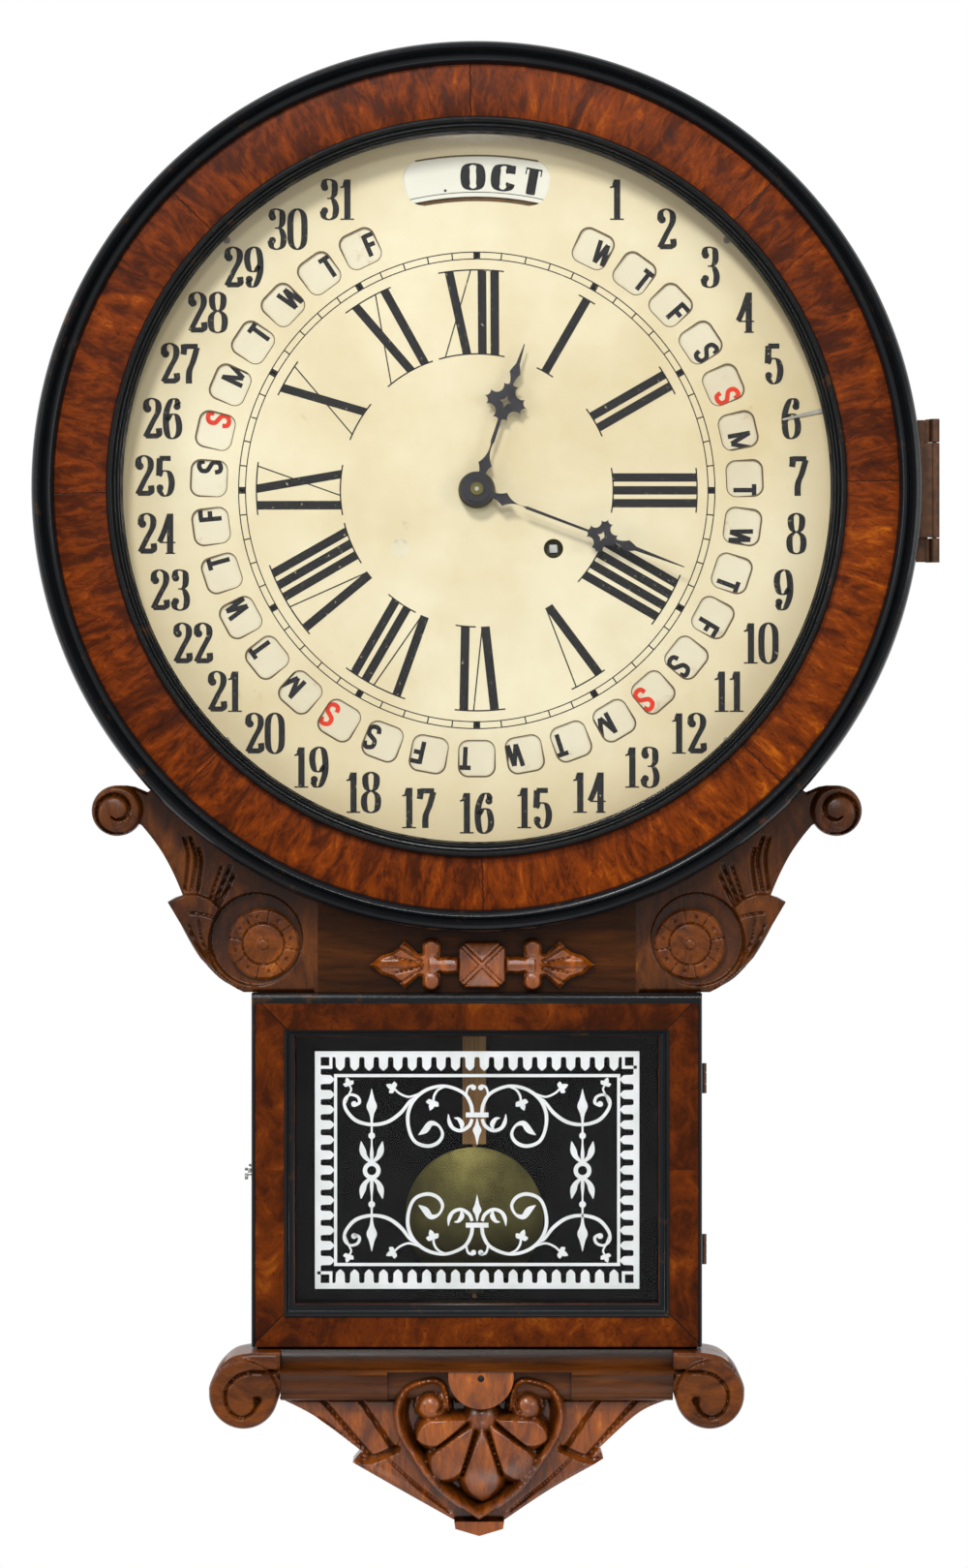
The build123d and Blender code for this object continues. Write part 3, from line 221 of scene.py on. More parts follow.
def woodColours(value, dark, deep, mid, light):
    return value.ramp((0.18, dark), (0.40, deep), (0.60, mid), (0.82, light))


def burl(material, where, luck, seam, darker=1.0):  # figured root veneer in the given coordinates
    shift = where.node("ShaderNodeCombineXYZ", {0: luck * 3.0, 1: luck * 7.0, 2: luck * 5.0})
    moved = where.node("ShaderNodeVectorMath", {0: where, 1: shift}, operation="ADD")
    curl = moved.noise(19, 6, 0.62, 1.8)
    streak = moved.noise(64, 6, 0.68, 1.2)
    pores = moved.noise(520, 3, 0.7)
    figure = (curl * 0.50 + streak * 0.50 - 0.5) * 1.5 + 0.5 + (luck - 0.5) * 0.12
    tones = [(32, 12, 3), (76, 28, 3), (128, 54, 6), (196, 102, 20)]
    colour = woodColours(figure, *[paint(*(part * darker for part in tone)) for tone in tones])
    colour = (pores.between(0.58, 0.70) * 0.8).over(colour, paint(34, 13, 5))
    colour = seam.over(colour, paint(24, 11, 6))
    rough = streak.between(0.3, 0.75) * 0.13 + 0.21
    height = curl * 0.4 + pores * 0.2 - seam * 0.6
    return finishOf(material, height, 0.0006, 0.4, Base_Color=colour, Roughness=rough + 0.08,
                    Specular_IOR_Level=0.07)


def makeBezelVeneer(name):  # eight pieces with their figure running out from the centre
    material, place = newFinish(name)
    x = place.part(0)
    z = place.part(2)
    turn = x.maths("ARCTAN2", z)
    radius = (x * x + z * z) ** 0.5
    wander = radius.node("ShaderNodeTexNoise", {"W": radius * 60}, noise_dimensions="1D")
    share = (turn + (wander - 0.5) * 0.008) * (8 / (2 * math.pi)) + 0.02
    luck = share.node("ShaderNodeTexWhiteNoise", {"W": share.maths("FLOOR")}, out="Value", noise_dimensions="1D")
    seam = (share.maths("FRACT") - 0.5).maths("ABSOLUTE").between(0.4972, 0.4994)
    where = turn.node("ShaderNodeCombineXYZ", {0: turn * 0.50, 1: radius * 0.8, 2: place.part(1)})
    return burl(material, where, luck, seam)


door = {"left": -127.0, "right": 127.0, "top": -284.6, "bottom": -483.3, "member": 26.2}


def makeDoorVeneer(name):  # four members meeting in mitres
    material, place = newFinish(name)
    x = place.part(0)
    z = place.part(2)
    inX = door["right"] / 1000 - x.maths("ABSOLUTE")
    inTop = door["top"] / 1000 - z
    inEnd = z - door["bottom"] / 1000
    inZ = inTop.maths("MINIMUM", inEnd)
    number = inX.maths("LESS_THAN", inZ) * (x.maths("SIGN") * 2 + 5) + inTop.maths("LESS_THAN", inEnd) * 11
    luck = number.node("ShaderNodeTexWhiteNoise", {"W": number}, out="Value", noise_dimensions="1D")
    seam = (inX - inZ).maths("ABSOLUTE").between(0.0006, 0.0003) * inX.maths("LESS_THAN", door["member"] / 1000)
    where = place.scaled(0.9, 1, 0.7)
    return burl(material, where, luck, seam, 0.82)


darkWood = [(24, 10, 3), (62, 28, 5), (106, 54, 11), (160, 94, 30)]
paleWood = [(92, 62, 32), (136, 98, 54), (166, 126, 76), (194, 156, 104)]


def makeCarved(name, shade=1.0, along=(1, 1, 1), gloss=0.22, tones=darkWood, shine=0.2, shadeBand=None):
    material, place = newFinish(name)
    stretched = place.scaled(*along)
    grain = stretched.noise(60, 6, 0.65, 0.8)
    broad = place.noise(17, 3, 0.5)
    pores = stretched.noise(650, 4, 0.7)
    value = (grain * 0.68 + broad * 0.32 - 0.5) * 1.15 + 0.5
    tones = [paint(*(min(255, part * shade) for part in tone)) for tone in tones]
    colour = woodColours(value, *tones)
    colour = pores.between(0.58, 0.72).over(colour, paint(38, 19, 9))
    rough = grain.between(0.3, 0.75) * 0.16 + gloss
    # painted shade: colour darkened in hollows and crevices, where ambient occlusion finds them
    creviceShade = place.node("ShaderNodeAmbientOcclusion", {"Distance": 0.016}, out="AO", samples=6)
    colour = (creviceShade.between(0.9, 0.25) * 0.84).over(colour, paint(14, 6, 2))
    if shadeBand:  # painted shade under the door: darker above the given heights
        colour = (place.part(2).between(*shadeBand) * 0.86).over(colour, paint(12, 6, 2))
    return finishOf(material, grain * 0.5 + pores * 0.5, 0.0005, 0.35, Base_Color=colour, Roughness=rough,
                    Specular_IOR_Level=shine)


def makePaper(name, light, dark, edgeStart=0.17, edgeEnd=0.206, spots=0.66):
    material, place = newFinish(name)
    x = place.part(0)
    z = place.part(2)
    radius = (x * x + z * z) ** 0.5
    cloud = place.noise(9, 5, 0.6)
    stain = place.noise(38, 6, 0.7)
    fibre = place.noise(900, 3, 0.6)
    colour = cloud.ramp((0.3, light), (0.75, dark))
    # darker towards the rim: partly aged paper, partly painted shade under the bezel
    colour = (radius.between(edgeStart, edgeEnd) * 0.5).over(colour, dark)
    colour = (stain.between(spots, spots + 0.12) * 0.5).over(colour, paint(160, 125, 70))
    colour = (fibre.between(0.66, 0.74) * 0.25).over(colour, paint(120, 100, 70))
    return finishOf(material, fibre * 0.6 + cloud, 0.0003, 0.25, Base_Color=colour, Roughness=0.62,
                    Specular_IOR_Level=0.12)


def makeInk(name, colour, worn=0.0, gloss=0.2):
    material, place = newFinish(name)
    speck = place.noise(420, 4, 0.7)
    broad = place.noise(60, 3, 0.6)
    tone = broad.ramp((0.3, colour), (0.8, tuple(min(1, part * 1.5 + 0.004) for part in colour[:3]) + (1,)))
    if worn:
        tone = (speck.between(0.68 - worn, 0.74 - worn) * 0.85).over(tone, paint(205, 190, 150))
    return finishOf(material, Base_Color=tone, Roughness=speck * 0.3 + 0.45, Specular_IOR_Level=gloss)


def makeMetal(name, colour, dull, rough, scale=70, metallic=1.0):
    material, place = newFinish(name)
    cloud = place.noise(scale, 5, 0.65)
    fine = place.noise(scale * 9, 3, 0.6)
    tone = cloud.ramp((0.35, colour), (0.72, dull))
    return finishOf(material, fine, 0.0002, 0.25, Base_Color=tone, Roughness=cloud * 0.25 + rough, Metallic=metallic)


def makeGlass(name):
    material, place = newFinish(name)
    smear = place.noise(22, 4, 0.6)
    tree = material.node_tree
    clear = tree.nodes.new("ShaderNodeBsdfTransparent")
    gloss = tree.nodes.new("ShaderNodeBsdfGlossy")
    gloss.inputs["Roughness"].default_value = 0.03
    facing = place.node("ShaderNodeFresnel", {"IOR": 1.45})
    mixed = tree.nodes.new("ShaderNodeMixShader")
    out = tree.nodes.new("ShaderNodeOutputMaterial")
    plug(tree, facing * (smear * 0.2 + 0.15), mixed.inputs[0])
    tree.links.new(clear.outputs[0], mixed.inputs[1])
    tree.links.new(gloss.outputs[0], mixed.inputs[2])
    tree.links.new(mixed.outputs[0], out.inputs[0])
    return material


finishes = {
    "ebony": makeEbony("ebonisedMoulding"),
    "bezelVeneer": makeBezelVeneer("bezelVeneer"),
    "doorVeneer": makeDoorVeneer("doorVeneer"),
    "carving": makeCarved("carvedWalnut", 0.94, (1.5, 1, 0.5)),
    "carvingLight": makeCarved("carvedOrnament", 1.52, (1.7, 1, 0.42), 0.17, shine=0.5),
    "throat": makeCarved("throatBoard", 0.76, (0.16, 1, 1.6), shine=0.1),
    # painted shade along the top of the shelf, under the door
    "shelf": makeCarved("shelfWalnut", 0.92, (0.14, 1, 1.5), shine=0.16, shadeBand=(-0.4925, -0.4875)),
    "scroll": makeCarved("scrollWalnut", 1.1, (0.6, 1, 1.5)),
    "rosette": makeCarved("turnedRosette", 1.2),
    "softwood": makeCarved("plainSoftwood", 1.02, (1, 1, 0.12), 0.5, paleWood),
    "rodWood": makeCarved("pendulumRod", 1.12, (1.8, 1, 0.05), 0.4, paleWood),
    "dialPaper": makePaper("dialPaper", paint(240, 231, 198), paint(214, 196, 150)),
    "ringCard": makePaper("weekdayCard", paint(238, 231, 204), paint(212, 200, 168), 0.3, 0.4, 0.58),
    "monthCard": makePaper("monthCard", paint(238, 237, 222), paint(220, 216, 196), 0.3, 0.4, 0.70),
    "ink": makeInk("dialInk", paint(17, 17, 17), 0.05),
    "printInk": makeInk("calendarInk", paint(20, 20, 22), 0.02),
    "redInk": makeInk("sundayRed", paint(205, 52, 28)),
    "stencil": makeInk("stencilWhite", paint(232, 236, 232)),
    "bluedSteel": makeMetal("bluedHands", paint(26, 26, 30), paint(46, 44, 46), 0.22, 90, 0.7),
    "steel": makeMetal("brightSteel", paint(170, 172, 170), paint(120, 118, 112), 0.2),
    "pointerSteel": makeMetal("datePointer", paint(170, 168, 158), paint(134, 130, 118), 0.45, 70, 0.5),
    "iron": makeMetal("brownedIron", paint(86, 56, 34), paint(52, 34, 24), 0.4, 160, 0.6),
    "brass": makeMetal("agedBrass", paint(94, 89, 50), paint(58, 52, 26), 0.2, 40),
    "putty": makeInk("dryPutty", paint(150, 138, 112)),
    "label": makeInk("labelSheet", paint(4, 4, 5), gloss=0.05),
    # dark brown for the painted shadow lines round the dial's windows
    "shadowLine": makeInk("windowShadow", paint(92, 76, 52)),
    "glass": makeGlass("oldGlass"),
}
slotFinish = {
    "ebonised_wood": "ebony", "burl_veneer": "doorVeneer", "carved_wood": "carving", "secondary_wood": "softwood",
    "rod_wood": "rodWood", "glass": "glass", "dial_paper": "dialPaper", "ring_card": "ringCard",
    "blued_steel": "bluedSteel", "steel": "steel", "iron": "iron", "brass": "brass", "putty": "putty",
}
nodeFinish = {
    "bezel_ring": "bezelVeneer", "throat_board": "throat", "shelf_moulding": "shelf", "shelf_scrolls": "shelf",
    "ear_rosettes": "rosette", "keystone_boss": "carvingLight", "drop_finial": "carvingLight",
    "month_ring": "monthCard", "date_ring": "pointerSteel", "head_drum": "ebony",
    "hole_plug": "ringCard",
}
nodeSlots = {part["node"]: part["material_slot"] for part in frame["record"]["subparts"]}
for nodeName, slotName in nodeSlots.items():
    solid = frame["nodes"][nodeName]
    finish = finishes[nodeFinish.get(nodeName, slotFinish[slotName])]
    solid.data.materials.clear()
    solid.data.materials.append(finish)
print("finishes made")


# Mesh helpers; sizes are in millimetres, x to the right, z up, depth out from the wall

def place(x, depth, z):
    return Vector((x / 1000, -depth / 1000, z / 1000))


def addPiece(name, mesh, body, nodes=()):
    piece = bpy.data.objects.new(name, mesh)
    scene.collection.objects.link(piece)
    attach(piece, body)
    if nodes:
        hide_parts(*nodes)
    return piece


def rawMesh(name, points, faces, finish):
    mesh = bpy.data.meshes.new(name)
    mesh.from_pydata([tuple(point) for point in points], [], faces)
    mesh.materials.append(finishes[finish])
    work = bmesh.new()
    work.from_mesh(mesh)
    return mesh, work


def closeMesh(mesh, work, sharp=None):  # sharp is the angle in degrees past which an edge isn't smooth
    if sharp:
        bmesh.ops.recalc_face_normals(work, faces=work.faces)
    work.to_mesh(mesh)
    work.free()
    if sharp:
        mesh.shade_smooth()
        mesh.set_sharp_from_angle(angle=math.radians(sharp))
    return mesh


def addMesh(name, points, faces, finish, body, nodes=()):
    mesh, work = rawMesh(name, points, faces, finish)
    bmesh.ops.remove_doubles(work, verts=work.verts, dist=0.000004)
    return addPiece(name, closeMesh(mesh, work, 38), body, nodes)


def curve(points, steps=6, closed=False):  # a smooth line through its points
    points = [np.array(point, float) for point in points]
    count = len(points)
    out = []
    spans = count if closed else count - 1
    for span in range(spans):
        pick = (lambda n: points[n % count]) if closed else (lambda n: points[min(max(n, 0), count - 1)])
        a, b, c, d = (pick(span + shift) for shift in (-1, 0, 1, 2))
        for step in range(steps):
            t = step / steps
            out.append(0.5 * (2 * b + (c - a) * t + (2 * a - 5 * b + 4 * c - d) * t * t
                              + (3 * b - a - 3 * c + d) * t ** 3))
    if not closed:
        out.append(points[-1])
    return out


def smoothLine(points, steps):
    return [tuple(point) for point in curve(points, steps)]


def ribbon(line, widths, closed=False):  # a flat band; widths is one width for each point
    line = np.array([point[:2] for point in line], float)
    ahead = np.roll(line, -1, 0) - np.roll(line, 1, 0)
    if not closed:
        ahead[0] = line[1] - line[0]
        ahead[-1] = line[-1] - line[-2]
    ahead /= np.maximum(np.linalg.norm(ahead, axis=1), 1e-9)[:, None]
    side = np.stack([-ahead[:, 1], ahead[:, 0]], 1) * np.array(widths)[:, None] / 2
    left = line + side
    right = line - side
    count = len(line)
    faces = []
    for spot in range(count if closed else count - 1):
        after = (spot + 1) % count
        faces.append((spot, after, after + count, spot + count))
    return np.concatenate([left, right]), faces


def disc(x, z, radius, sides=20):
    angles = np.arange(sides) * 2 * math.pi / sides
    return np.stack([x + radius * np.cos(angles), z + radius * np.sin(angles)], 1), [tuple(range(sides))]


def slab(x0, z0, x1, z1):
    return np.array([(x0, z0), (x1, z0), (x1, z1), (x0, z1)]), [(0, 1, 2, 3)]


def pen(points, thick, thin, steps=6, closed=False):  # a stroke of a broad pen: heavy upright, fine across
    line = np.array(curve(points, steps, closed)) if steps > 1 else np.array(points, float)
    ahead = np.gradient(line, axis=0)
    upright = np.abs(ahead[:, 1]) / np.maximum(np.linalg.norm(ahead, axis=1), 1e-9)
    return ribbon(line, thin + (thick - thin) * upright ** 2.2, closed)


class Artwork:  # flat shapes gathered into one printed or painted piece
    layerCount, layerGap = 11, 0.006  # strokes that cross lie a hair apart

    def __init__(self):
        self.points, self.layers, self.faces = [], [], []

    def add(self, shape, move=lambda point: point):
        points, faces = shape
        first = len(self.points)
        self.layers += [len(self.faces) % self.layerCount * self.layerGap] * len(points)
        self.points += [move(point) for point in points]
        self.faces += [tuple(first + corner for corner in face) for face in faces]

    def mesh(self, name, depth, finish):
        points = [place(x, depth + layer, z) for (x, z), layer in zip(self.points, self.layers)]
        mesh, work = rawMesh(name, points, self.faces, finish)
        for face in work.faces:
            face.normal_update()
            if face.normal.y > 0:
                face.normal_flip()
        bmesh.ops.triangulate(work, faces=[face for face in work.faces if len(face.verts) > 4])
        return closeMesh(mesh, work)

    def make(self, name, depth, finish, body):
        return addPiece(name, self.mesh(name, depth, finish), body, ())


def copyTree(kind):  # copies of a template, turned about the clock's axis or set in a row
    tree = bpy.data.node_groups.new(kind, "GeometryNodeTree")
    face = tree.interface
    face.new_socket("Geometry", in_out="OUTPUT", socket_type="NodeSocketGeometry")
    for label, sort in (("Template", "NodeSocketObject"), ("Finish", "NodeSocketMaterial"), ("Count", "NodeSocketInt"),
                        ("Start", "NodeSocketVector"), ("Step", "NodeSocketVector")):
        face.new_socket(label, in_out="INPUT", socket_type=sort)
    kinds = ("NodeGroupInput", "NodeGroupOutput", "GeometryNodeObjectInfo", "GeometryNodePoints",
             "GeometryNodeInputIndex", "GeometryNodeInstanceOnPoints", "GeometryNodeRealizeInstances",
             "GeometryNodeSetMaterial", "ShaderNodeVectorMath")
    given, out, template, dots, index, copies, whole, painted, path = (tree.nodes.new(sort) for sort in kinds)
    path.operation = "MULTIPLY_ADD"
    links = [(given.outputs["Template"], template.inputs["Object"]), (given.outputs["Count"], dots.inputs["Count"]),
             (index.outputs[0], path.inputs[0]), (given.outputs["Step"], path.inputs[1]),
             (given.outputs["Start"], path.inputs[2]),
             (path.outputs[0], copies.inputs["Rotation"] if kind == "turnedCopies" else dots.inputs["Position"]),
             (dots.outputs[0], copies.inputs["Points"]), (template.outputs["Geometry"], copies.inputs["Instance"]),
             (copies.outputs[0], whole.inputs[0]), (whole.outputs[0], painted.inputs["Geometry"]),
             (given.outputs["Finish"], painted.inputs["Material"]), (painted.outputs[0], out.inputs[0])]
    for start, end in links:
        tree.links.new(start, end)
    return tree


trees = {kind: copyTree(kind) for kind in ("turnedCopies", "rowCopies")}


def copied(name, art, depth, kind, rows, finish, body):  # rows of count, start and step, as one piece
    template = bpy.data.objects.new(name + "Template", art.mesh(name + "Template", depth, finish))
    holder = bpy.data.objects.new(name, bpy.data.meshes.new(name))
    scene.collection.objects.link(template)
    scene.collection.objects.link(holder)
    work = bmesh.new()
    for count, start, step in rows:
        repeat = holder.modifiers.new("copies", "NODES")
        repeat.node_group = trees[kind]
        sockets = {item.name: item.identifier for item in trees[kind].interface.items_tree}
        for label, value in (("Template", template), ("Finish", finishes[finish]), ("Count", count), ("Start", start),
                             ("Step", step)):
            repeat[sockets[label]] = value
        bpy.context.view_layer.update()
        made = bpy.data.meshes.new_from_object(holder.evaluated_get(bpy.context.evaluated_depsgraph_get()))
        work.from_mesh(made)
        holder.modifiers.remove(repeat)
    work.to_mesh(holder.data)
    work.free()
    holder.data.materials.clear()
    holder.data.materials.append(finishes[finish])
    bpy.data.objects.remove(template)
    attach(holder, body)
    return holder


def polar(radius, clockAngle):
    angle = math.radians(clockAngle)
    return radius * math.sin(angle), radius * math.cos(angle)


def onDial(clockAngle, radius, offset=(0, 0)):  # upright lettering round the dial, tops outward
    angle = math.radians(clockAngle)
    def move(point):
        u = point[0] + offset[0]
        v = point[1] + offset[1] + radius
        return u * math.cos(angle) + v * math.sin(angle), -u * math.sin(angle) + v * math.cos(angle)
    return move


def upright(clockAngle, radius):
    x, z = polar(radius, clockAngle)
    return lambda point: (point[0] + x, point[1] + z)


def arcBand(radius, width, start=0, end=360):
    steps = max(2, int(abs(end - start) / 2))
    closed = abs(end - start) >= 360
    angles = np.radians(start + (end - start) * np.arange(steps + (0 if closed else 1)) / steps)
    line = np.stack([radius * np.sin(angles), radius * np.cos(angles)], 1)
    return ribbon(line, [width] * len(line), closed)


# Dial: numerals as strokes of a broad pen, in a box one unit high

figures = {
    "0": {"rings": [[(.5, 1), (.16, .86), (.1, .5), (.16, .14), (.5, 0), (.84, .14), (.9, .5), (.84, .86)]]},
    "1": {"curves": [[(.52, 0), (.52, .5), (.52, 1)], [(.5, .98), (.34, .84), (.12, .8)],
                     [(.12, .01), (.5, .01), (.9, .01)]]},
    "2": {"curves": [[(.16, .72), (.2, .92), (.5, 1), (.82, .9), (.84, .68), (.5, .38), (.12, .04)],
                     [(.88, .26), (.9, .1), (.7, .03), (.5, .09), (.12, .06)]],
          "dots": [(.25, .74, .13)], "slabs": [(.14, .0, .84, .13)]},
    "3": {"curves": [[(.18, .8), (.26, .96), (.5, 1), (.78, .92), (.8, .66), (.62, .54), (.38, .53)],
                     [(.38, .53), (.7, .5), (.88, .3), (.8, .08), (.5, 0), (.22, .06), (.14, .22)]],
          "dots": [(.25, .8, .12), (.24, .22, .12)]},
    "4": {"curves": [[(.66, 0), (.66, .5), (.66, 1)], [(.64, .97), (.36, .6), (.06, .29)],
                     [(.06, .28), (.5, .28), (.96, .28)], [(.4, .01), (.66, .01), (.94, .01)]]},
    "5": {"curves": [[(.22, .94), (.2, .72), (.18, .5)],
                     [(.18, .5), (.4, .62), (.74, .58), (.9, .34), (.78, .08), (.46, 0), (.14, .16)]],
          "dots": [(.23, .2, .12)], "slabs": [(.2, .87, .84, 1.0)]},
    "6": {"curves": [[(.84, .84), (.68, .98), (.4, .94), (.16, .66), (.13, .34), (.24, .08), (.5, 0), (.8, .1),
                      (.88, .32), (.74, .56), (.46, .6), (.2, .46)]],
          "dots": [(.76, .8, .12)]},
    "7": {"curves": [[(.88, .9), (.66, .56), (.44, .3), (.42, .0)], [(.13, .98), (.14, .84), (.1, .72)]],
          "slabs": [(.13, .86, .92, .99)]},
    "8": {"rings": [[(.5, 1), (.22, .92), (.18, .75), (.28, .6), (.5, .54), (.72, .6), (.82, .75), (.78, .92)],
                    [(.5, .54), (.18, .44), (.1, .26), (.2, .07), (.5, 0), (.8, .07), (.9, .26), (.82, .44)]]},
    "9": {"curves": [[(.16, .16), (.32, .02), (.6, .06), (.84, .34), (.87, .66), (.76, .92), (.5, 1), (.2, .9),
                      (.12, .68), (.26, .44), (.54, .4), (.8, .54)]],
          "dots": [(.24, .2, .12)]},
    "O": {"rings": [[(.5, 1), (.16, .88), (.06, .5), (.16, .12), (.5, 0), (.84, .12), (.94, .5), (.84, .88)]]},
    "C": {"curves": [[(.9, .7), (.78, .94), (.5, 1), (.18, .88), (.08, .5), (.18, .12), (.52, 0), (.84, .1), (.94, .3)],
                     [(.91, 1), (.91, .8), (.9, .68)]]},
    "T": {"curves": [[(.5, 0), (.5, .5), (.5, .98)], [(.02, .98), (.5, .98), (.98, .98)],
                     [(.28, .01), (.5, .01), (.72, .01)]],
          "slabs": [(.02, .74, .09, .99), (.91, .74, .98, .99)]},
    "W": {"curves": [[(.02, 1), (.14, .5), (.27, 0)], [(.27, 0), (.38, .45), (.5, .95)],
                     [(.5, .95), (.62, .45), (.73, 0)], [(.73, 0), (.86, .5), (.98, 1)]]},
    "t": {"curves": [[(.5, 0), (.5, .5), (.5, .95)], [(.04, .92), (.5, .92), (.96, .92)]]},
    "F": {"curves": [[(.16, 0), (.16, .5), (.16, 1)], [(.16, .92), (.5, .92), (.9, .92)],
                     [(.16, .5), (.5, .5), (.78, .5)]]},
    "M": {"curves": [[(.08, 0), (.08, .5), (.08, 1)], [(.08, .96), (.3, .5), (.5, .1)],
                     [(.5, .1), (.7, .5), (.92, .96)], [(.92, 1), (.92, .5), (.92, 0)]]},
    "S": {"curves": [[(.88, .76), (.74, .95), (.48, .98), (.16, .86), (.18, .62), (.5, .5), (.82, .38), (.86, .14),
                      (.54, .02), (.22, .06), (.1, .26)]]},
}


def letter(art, sign, style, width, middle, move):
    shapes = figures[sign]
    height, thick, thin = style["height"], style["thick"], style["thin"]
    def fit(points):
        return [((x - 0.5) * (width - thick) + middle, (z - 0.5) * (height - thin)) for x, z in points]
    for points in shapes.get("rings", []):
        art.add(pen(fit(points), thick, thin, 6, True), move)
    for points in shapes.get("curves", []):
        art.add(pen(fit(points), thick, thin, 5), move)
    for x, z, r in shapes.get("dots", []):
        (cx, cz), = fit([(x, z)])
        art.add(disc(cx, cz, r * height * 0.72, 14), move)
    for x0, z0, x1, z1 in shapes.get("slabs", []):
        (ax, az), (bx, bz) = fit([(x0, z0), (x1, z1)])
        art.add(slab(ax, az, bx, bz), move)


dial = {"face": 83.03, "cardFace": 82.13, "datePitch": 360 / 35, "dateRadius": 183.0,
        "minuteInner": 131.2, "minuteOuter": 135.1, "ringLine": 0.6, "romanInner": 77.4, "romanOuter": 125.0,
        "romanLine": 0.8, "dayRadius": 152, "monthRadius": 178}
dates = {"days": 31, "height": 23.6, "width": 13.6, "thick": 3.6, "thin": 0.85, "advance": 11.6, "advanceOfOne": 8.6}
dayLetters = {"height": 15.4, "wide": 12.8, "narrow": 10.0, "thick": 2.6, "thin": 2.6, "turn": 2.5}
monthLetters = {"height": 15.5, "thick": 5.3, "thin": 1.0,
                "places": (("O", -0.7, 15.6), ("C", 4.8, 15.6), ("T", 10.2, 15.0)),
                "line": (169.2, 0.4, -30, 30)}
# painted shadow lines round the dial's windows, wider on the side towards the rim
windowShadow = {"half": 10.3, "bend": 5.5, "thin": 0.5, "shaded": 1.0}
monthShadow = {"turn": 10.6, "lines": ((189.9, 0.9), (164.2, 0.5))}
numerals = Artwork()
for number in range(1, dates["days"] + 1):
    angle = 180 - (16 - number) * dial["datePitch"]
    text = str(number)
    spans = [dates["advanceOfOne" if sign == "1" else "advance"] for sign in text]
    at = -sum(spans) / 2
    for sign, span in zip(text, spans):
        letter(numerals, sign, dates, dates["width"], at + span / 2, upright(angle, dial["dateRadius"]))
        at += span
for ring in ("minuteInner", "minuteOuter"):
    numerals.add(arcBand(dial[ring], dial["ringLine"]))
for name, wide, count in (("minuteMarks", 0.7, 60), ("hourMarks", 3.8, 12)):
    mark = Artwork()
    half = math.degrees(wide / 2 / dial["minuteInner"])
    inner, outer = dial["minuteInner"], dial["minuteOuter"]
    mark.add(arcBand((inner + outer) / 2, outer - inner, -half, half))
    copied(name, mark, dial["face"], "turnedCopies", [(count, (0, 0, 0), (0, 2 * math.pi / count, 0))], "ink", "case")

romans = [  # each stroke's place at the outer and inner circle and its width, then the fine lines across both ends
    ([(-15.8, -5.5, 4.9), (-3.5, -17.8, 0.75), (2.9, 3.2, 4.9), (10.1, 10.3, 4.9)], (-21.9, 15.4), (-21.5, 15.8)),
    ([(0, 0, 4.9)], (-5.3, 5.3), (-5.3, 5.3)), ([(-3.7, -3.7, 4.9), (3.7, 3.7, 4.9)], (-9, 9), (-9, 9)),
    ([(-7.3, -7.3, 4.8), (0, 0, 4.8), (7.3, 7.3, 4.8)], (-12.7, 12.7), (-12.7, 12.7)),
    ([(-10.9, -10.9, 4.9), (-3.6, -3.6, 4.9), (3.6, 3.6, 4.9), (10.9, 10.9, 4.9)], (-16.2, 16.2), (-16.2, 16.2)),
    ([(-8.0, -2.4, 4.9), (6.9, -0.6, 0.75)], (-12, 9.8), None),
    ([(-10.1, -4.8, 5.0), (1.8, -3.1, 0.75), (7.4, 6.5, 5.0)], (-16.2, 12.6), (0.6, 12.0)),
    ([(-18.7, -10.2, 4.9), (-4.6, -8.6, 0.75), (1.0, 0.9, 4.9), (8.4, 8.5, 4.9)], (-23.9, 14), (-4.6, 13.9)),
    ([(-18.9, -10.9, 4.9), (-4.2, -9.2, 0.75), (2.2, 2.4, 4.9), (9.6, 9.6, 4.9), (17.0, 16.7, 4.9)], (-23.2, 22),
     (-3, 21.6)),
    ([(-8.5, -8.4, 4.9), (0.9, 9.2, 4.9), (13.8, -2.9, 0.75)], (-14, 16), (-14, 14.4)),
    ([(-4.9, 6.8, 4.9), (9.2, -7.9, 0.75)], (-9.7, 12.5), (-11.2, 12.3)),
    ([(-7.4, 1.7, 4.9), (5.7, -11.9, 0.75), (11.2, 10.4, 4.9)], (-14.2, 15.3), (-14.3, 15.1)),
]
low, high = dial["romanInner"], dial["romanOuter"]
for hour, (strokes, outerLine, innerLine) in enumerate(romans):
    move = onDial(30 * hour, 0)
    onRing = lambda u, ring: (u, math.sqrt(ring * ring - u * u))
    for outer, inner, thick in strokes:
        points = []
        for spot, ring in ((inner, low), (outer, high)):
            for side in ((-1, 1) if spot == inner and ring == low else (1, -1)):
                points.append(onRing(spot + side * thick / 2, ring))
        numerals.add((np.array(points), [(0, 1, 2, 3)]), move)
    for span, ring in ((outerLine, high), (innerLine, low)):
        if span:
            line = [onRing(span[0] + (span[1] - span[0]) * step / 12, ring) for step in range(13)]
            numerals.add(ribbon(line, [dial["romanLine"]] * 13), move)
half, bend = windowShadow["half"], windowShadow["bend"]
line = []
for corner in range(4):  # painted shadow along the cut edge of each weekday window, wider on the side towards the rim
    cx, cz = (half - bend) * (1 if corner in (0, 3) else -1), (half - bend) * (1 if corner < 2 else -1)
    for step in range(7):
        angle = math.radians(90 * corner + 15 * step)
        line.append((cx + bend * math.cos(angle), cz + bend * math.sin(angle)))
shadowLine = Artwork()
widths = [windowShadow["shaded" if point[1] > 0 else "thin"] for point in line]
shadowLine.add(ribbon(line, widths, True), onDial(0, dial["dayRadius"]))
pitch = math.radians(dial["datePitch"])
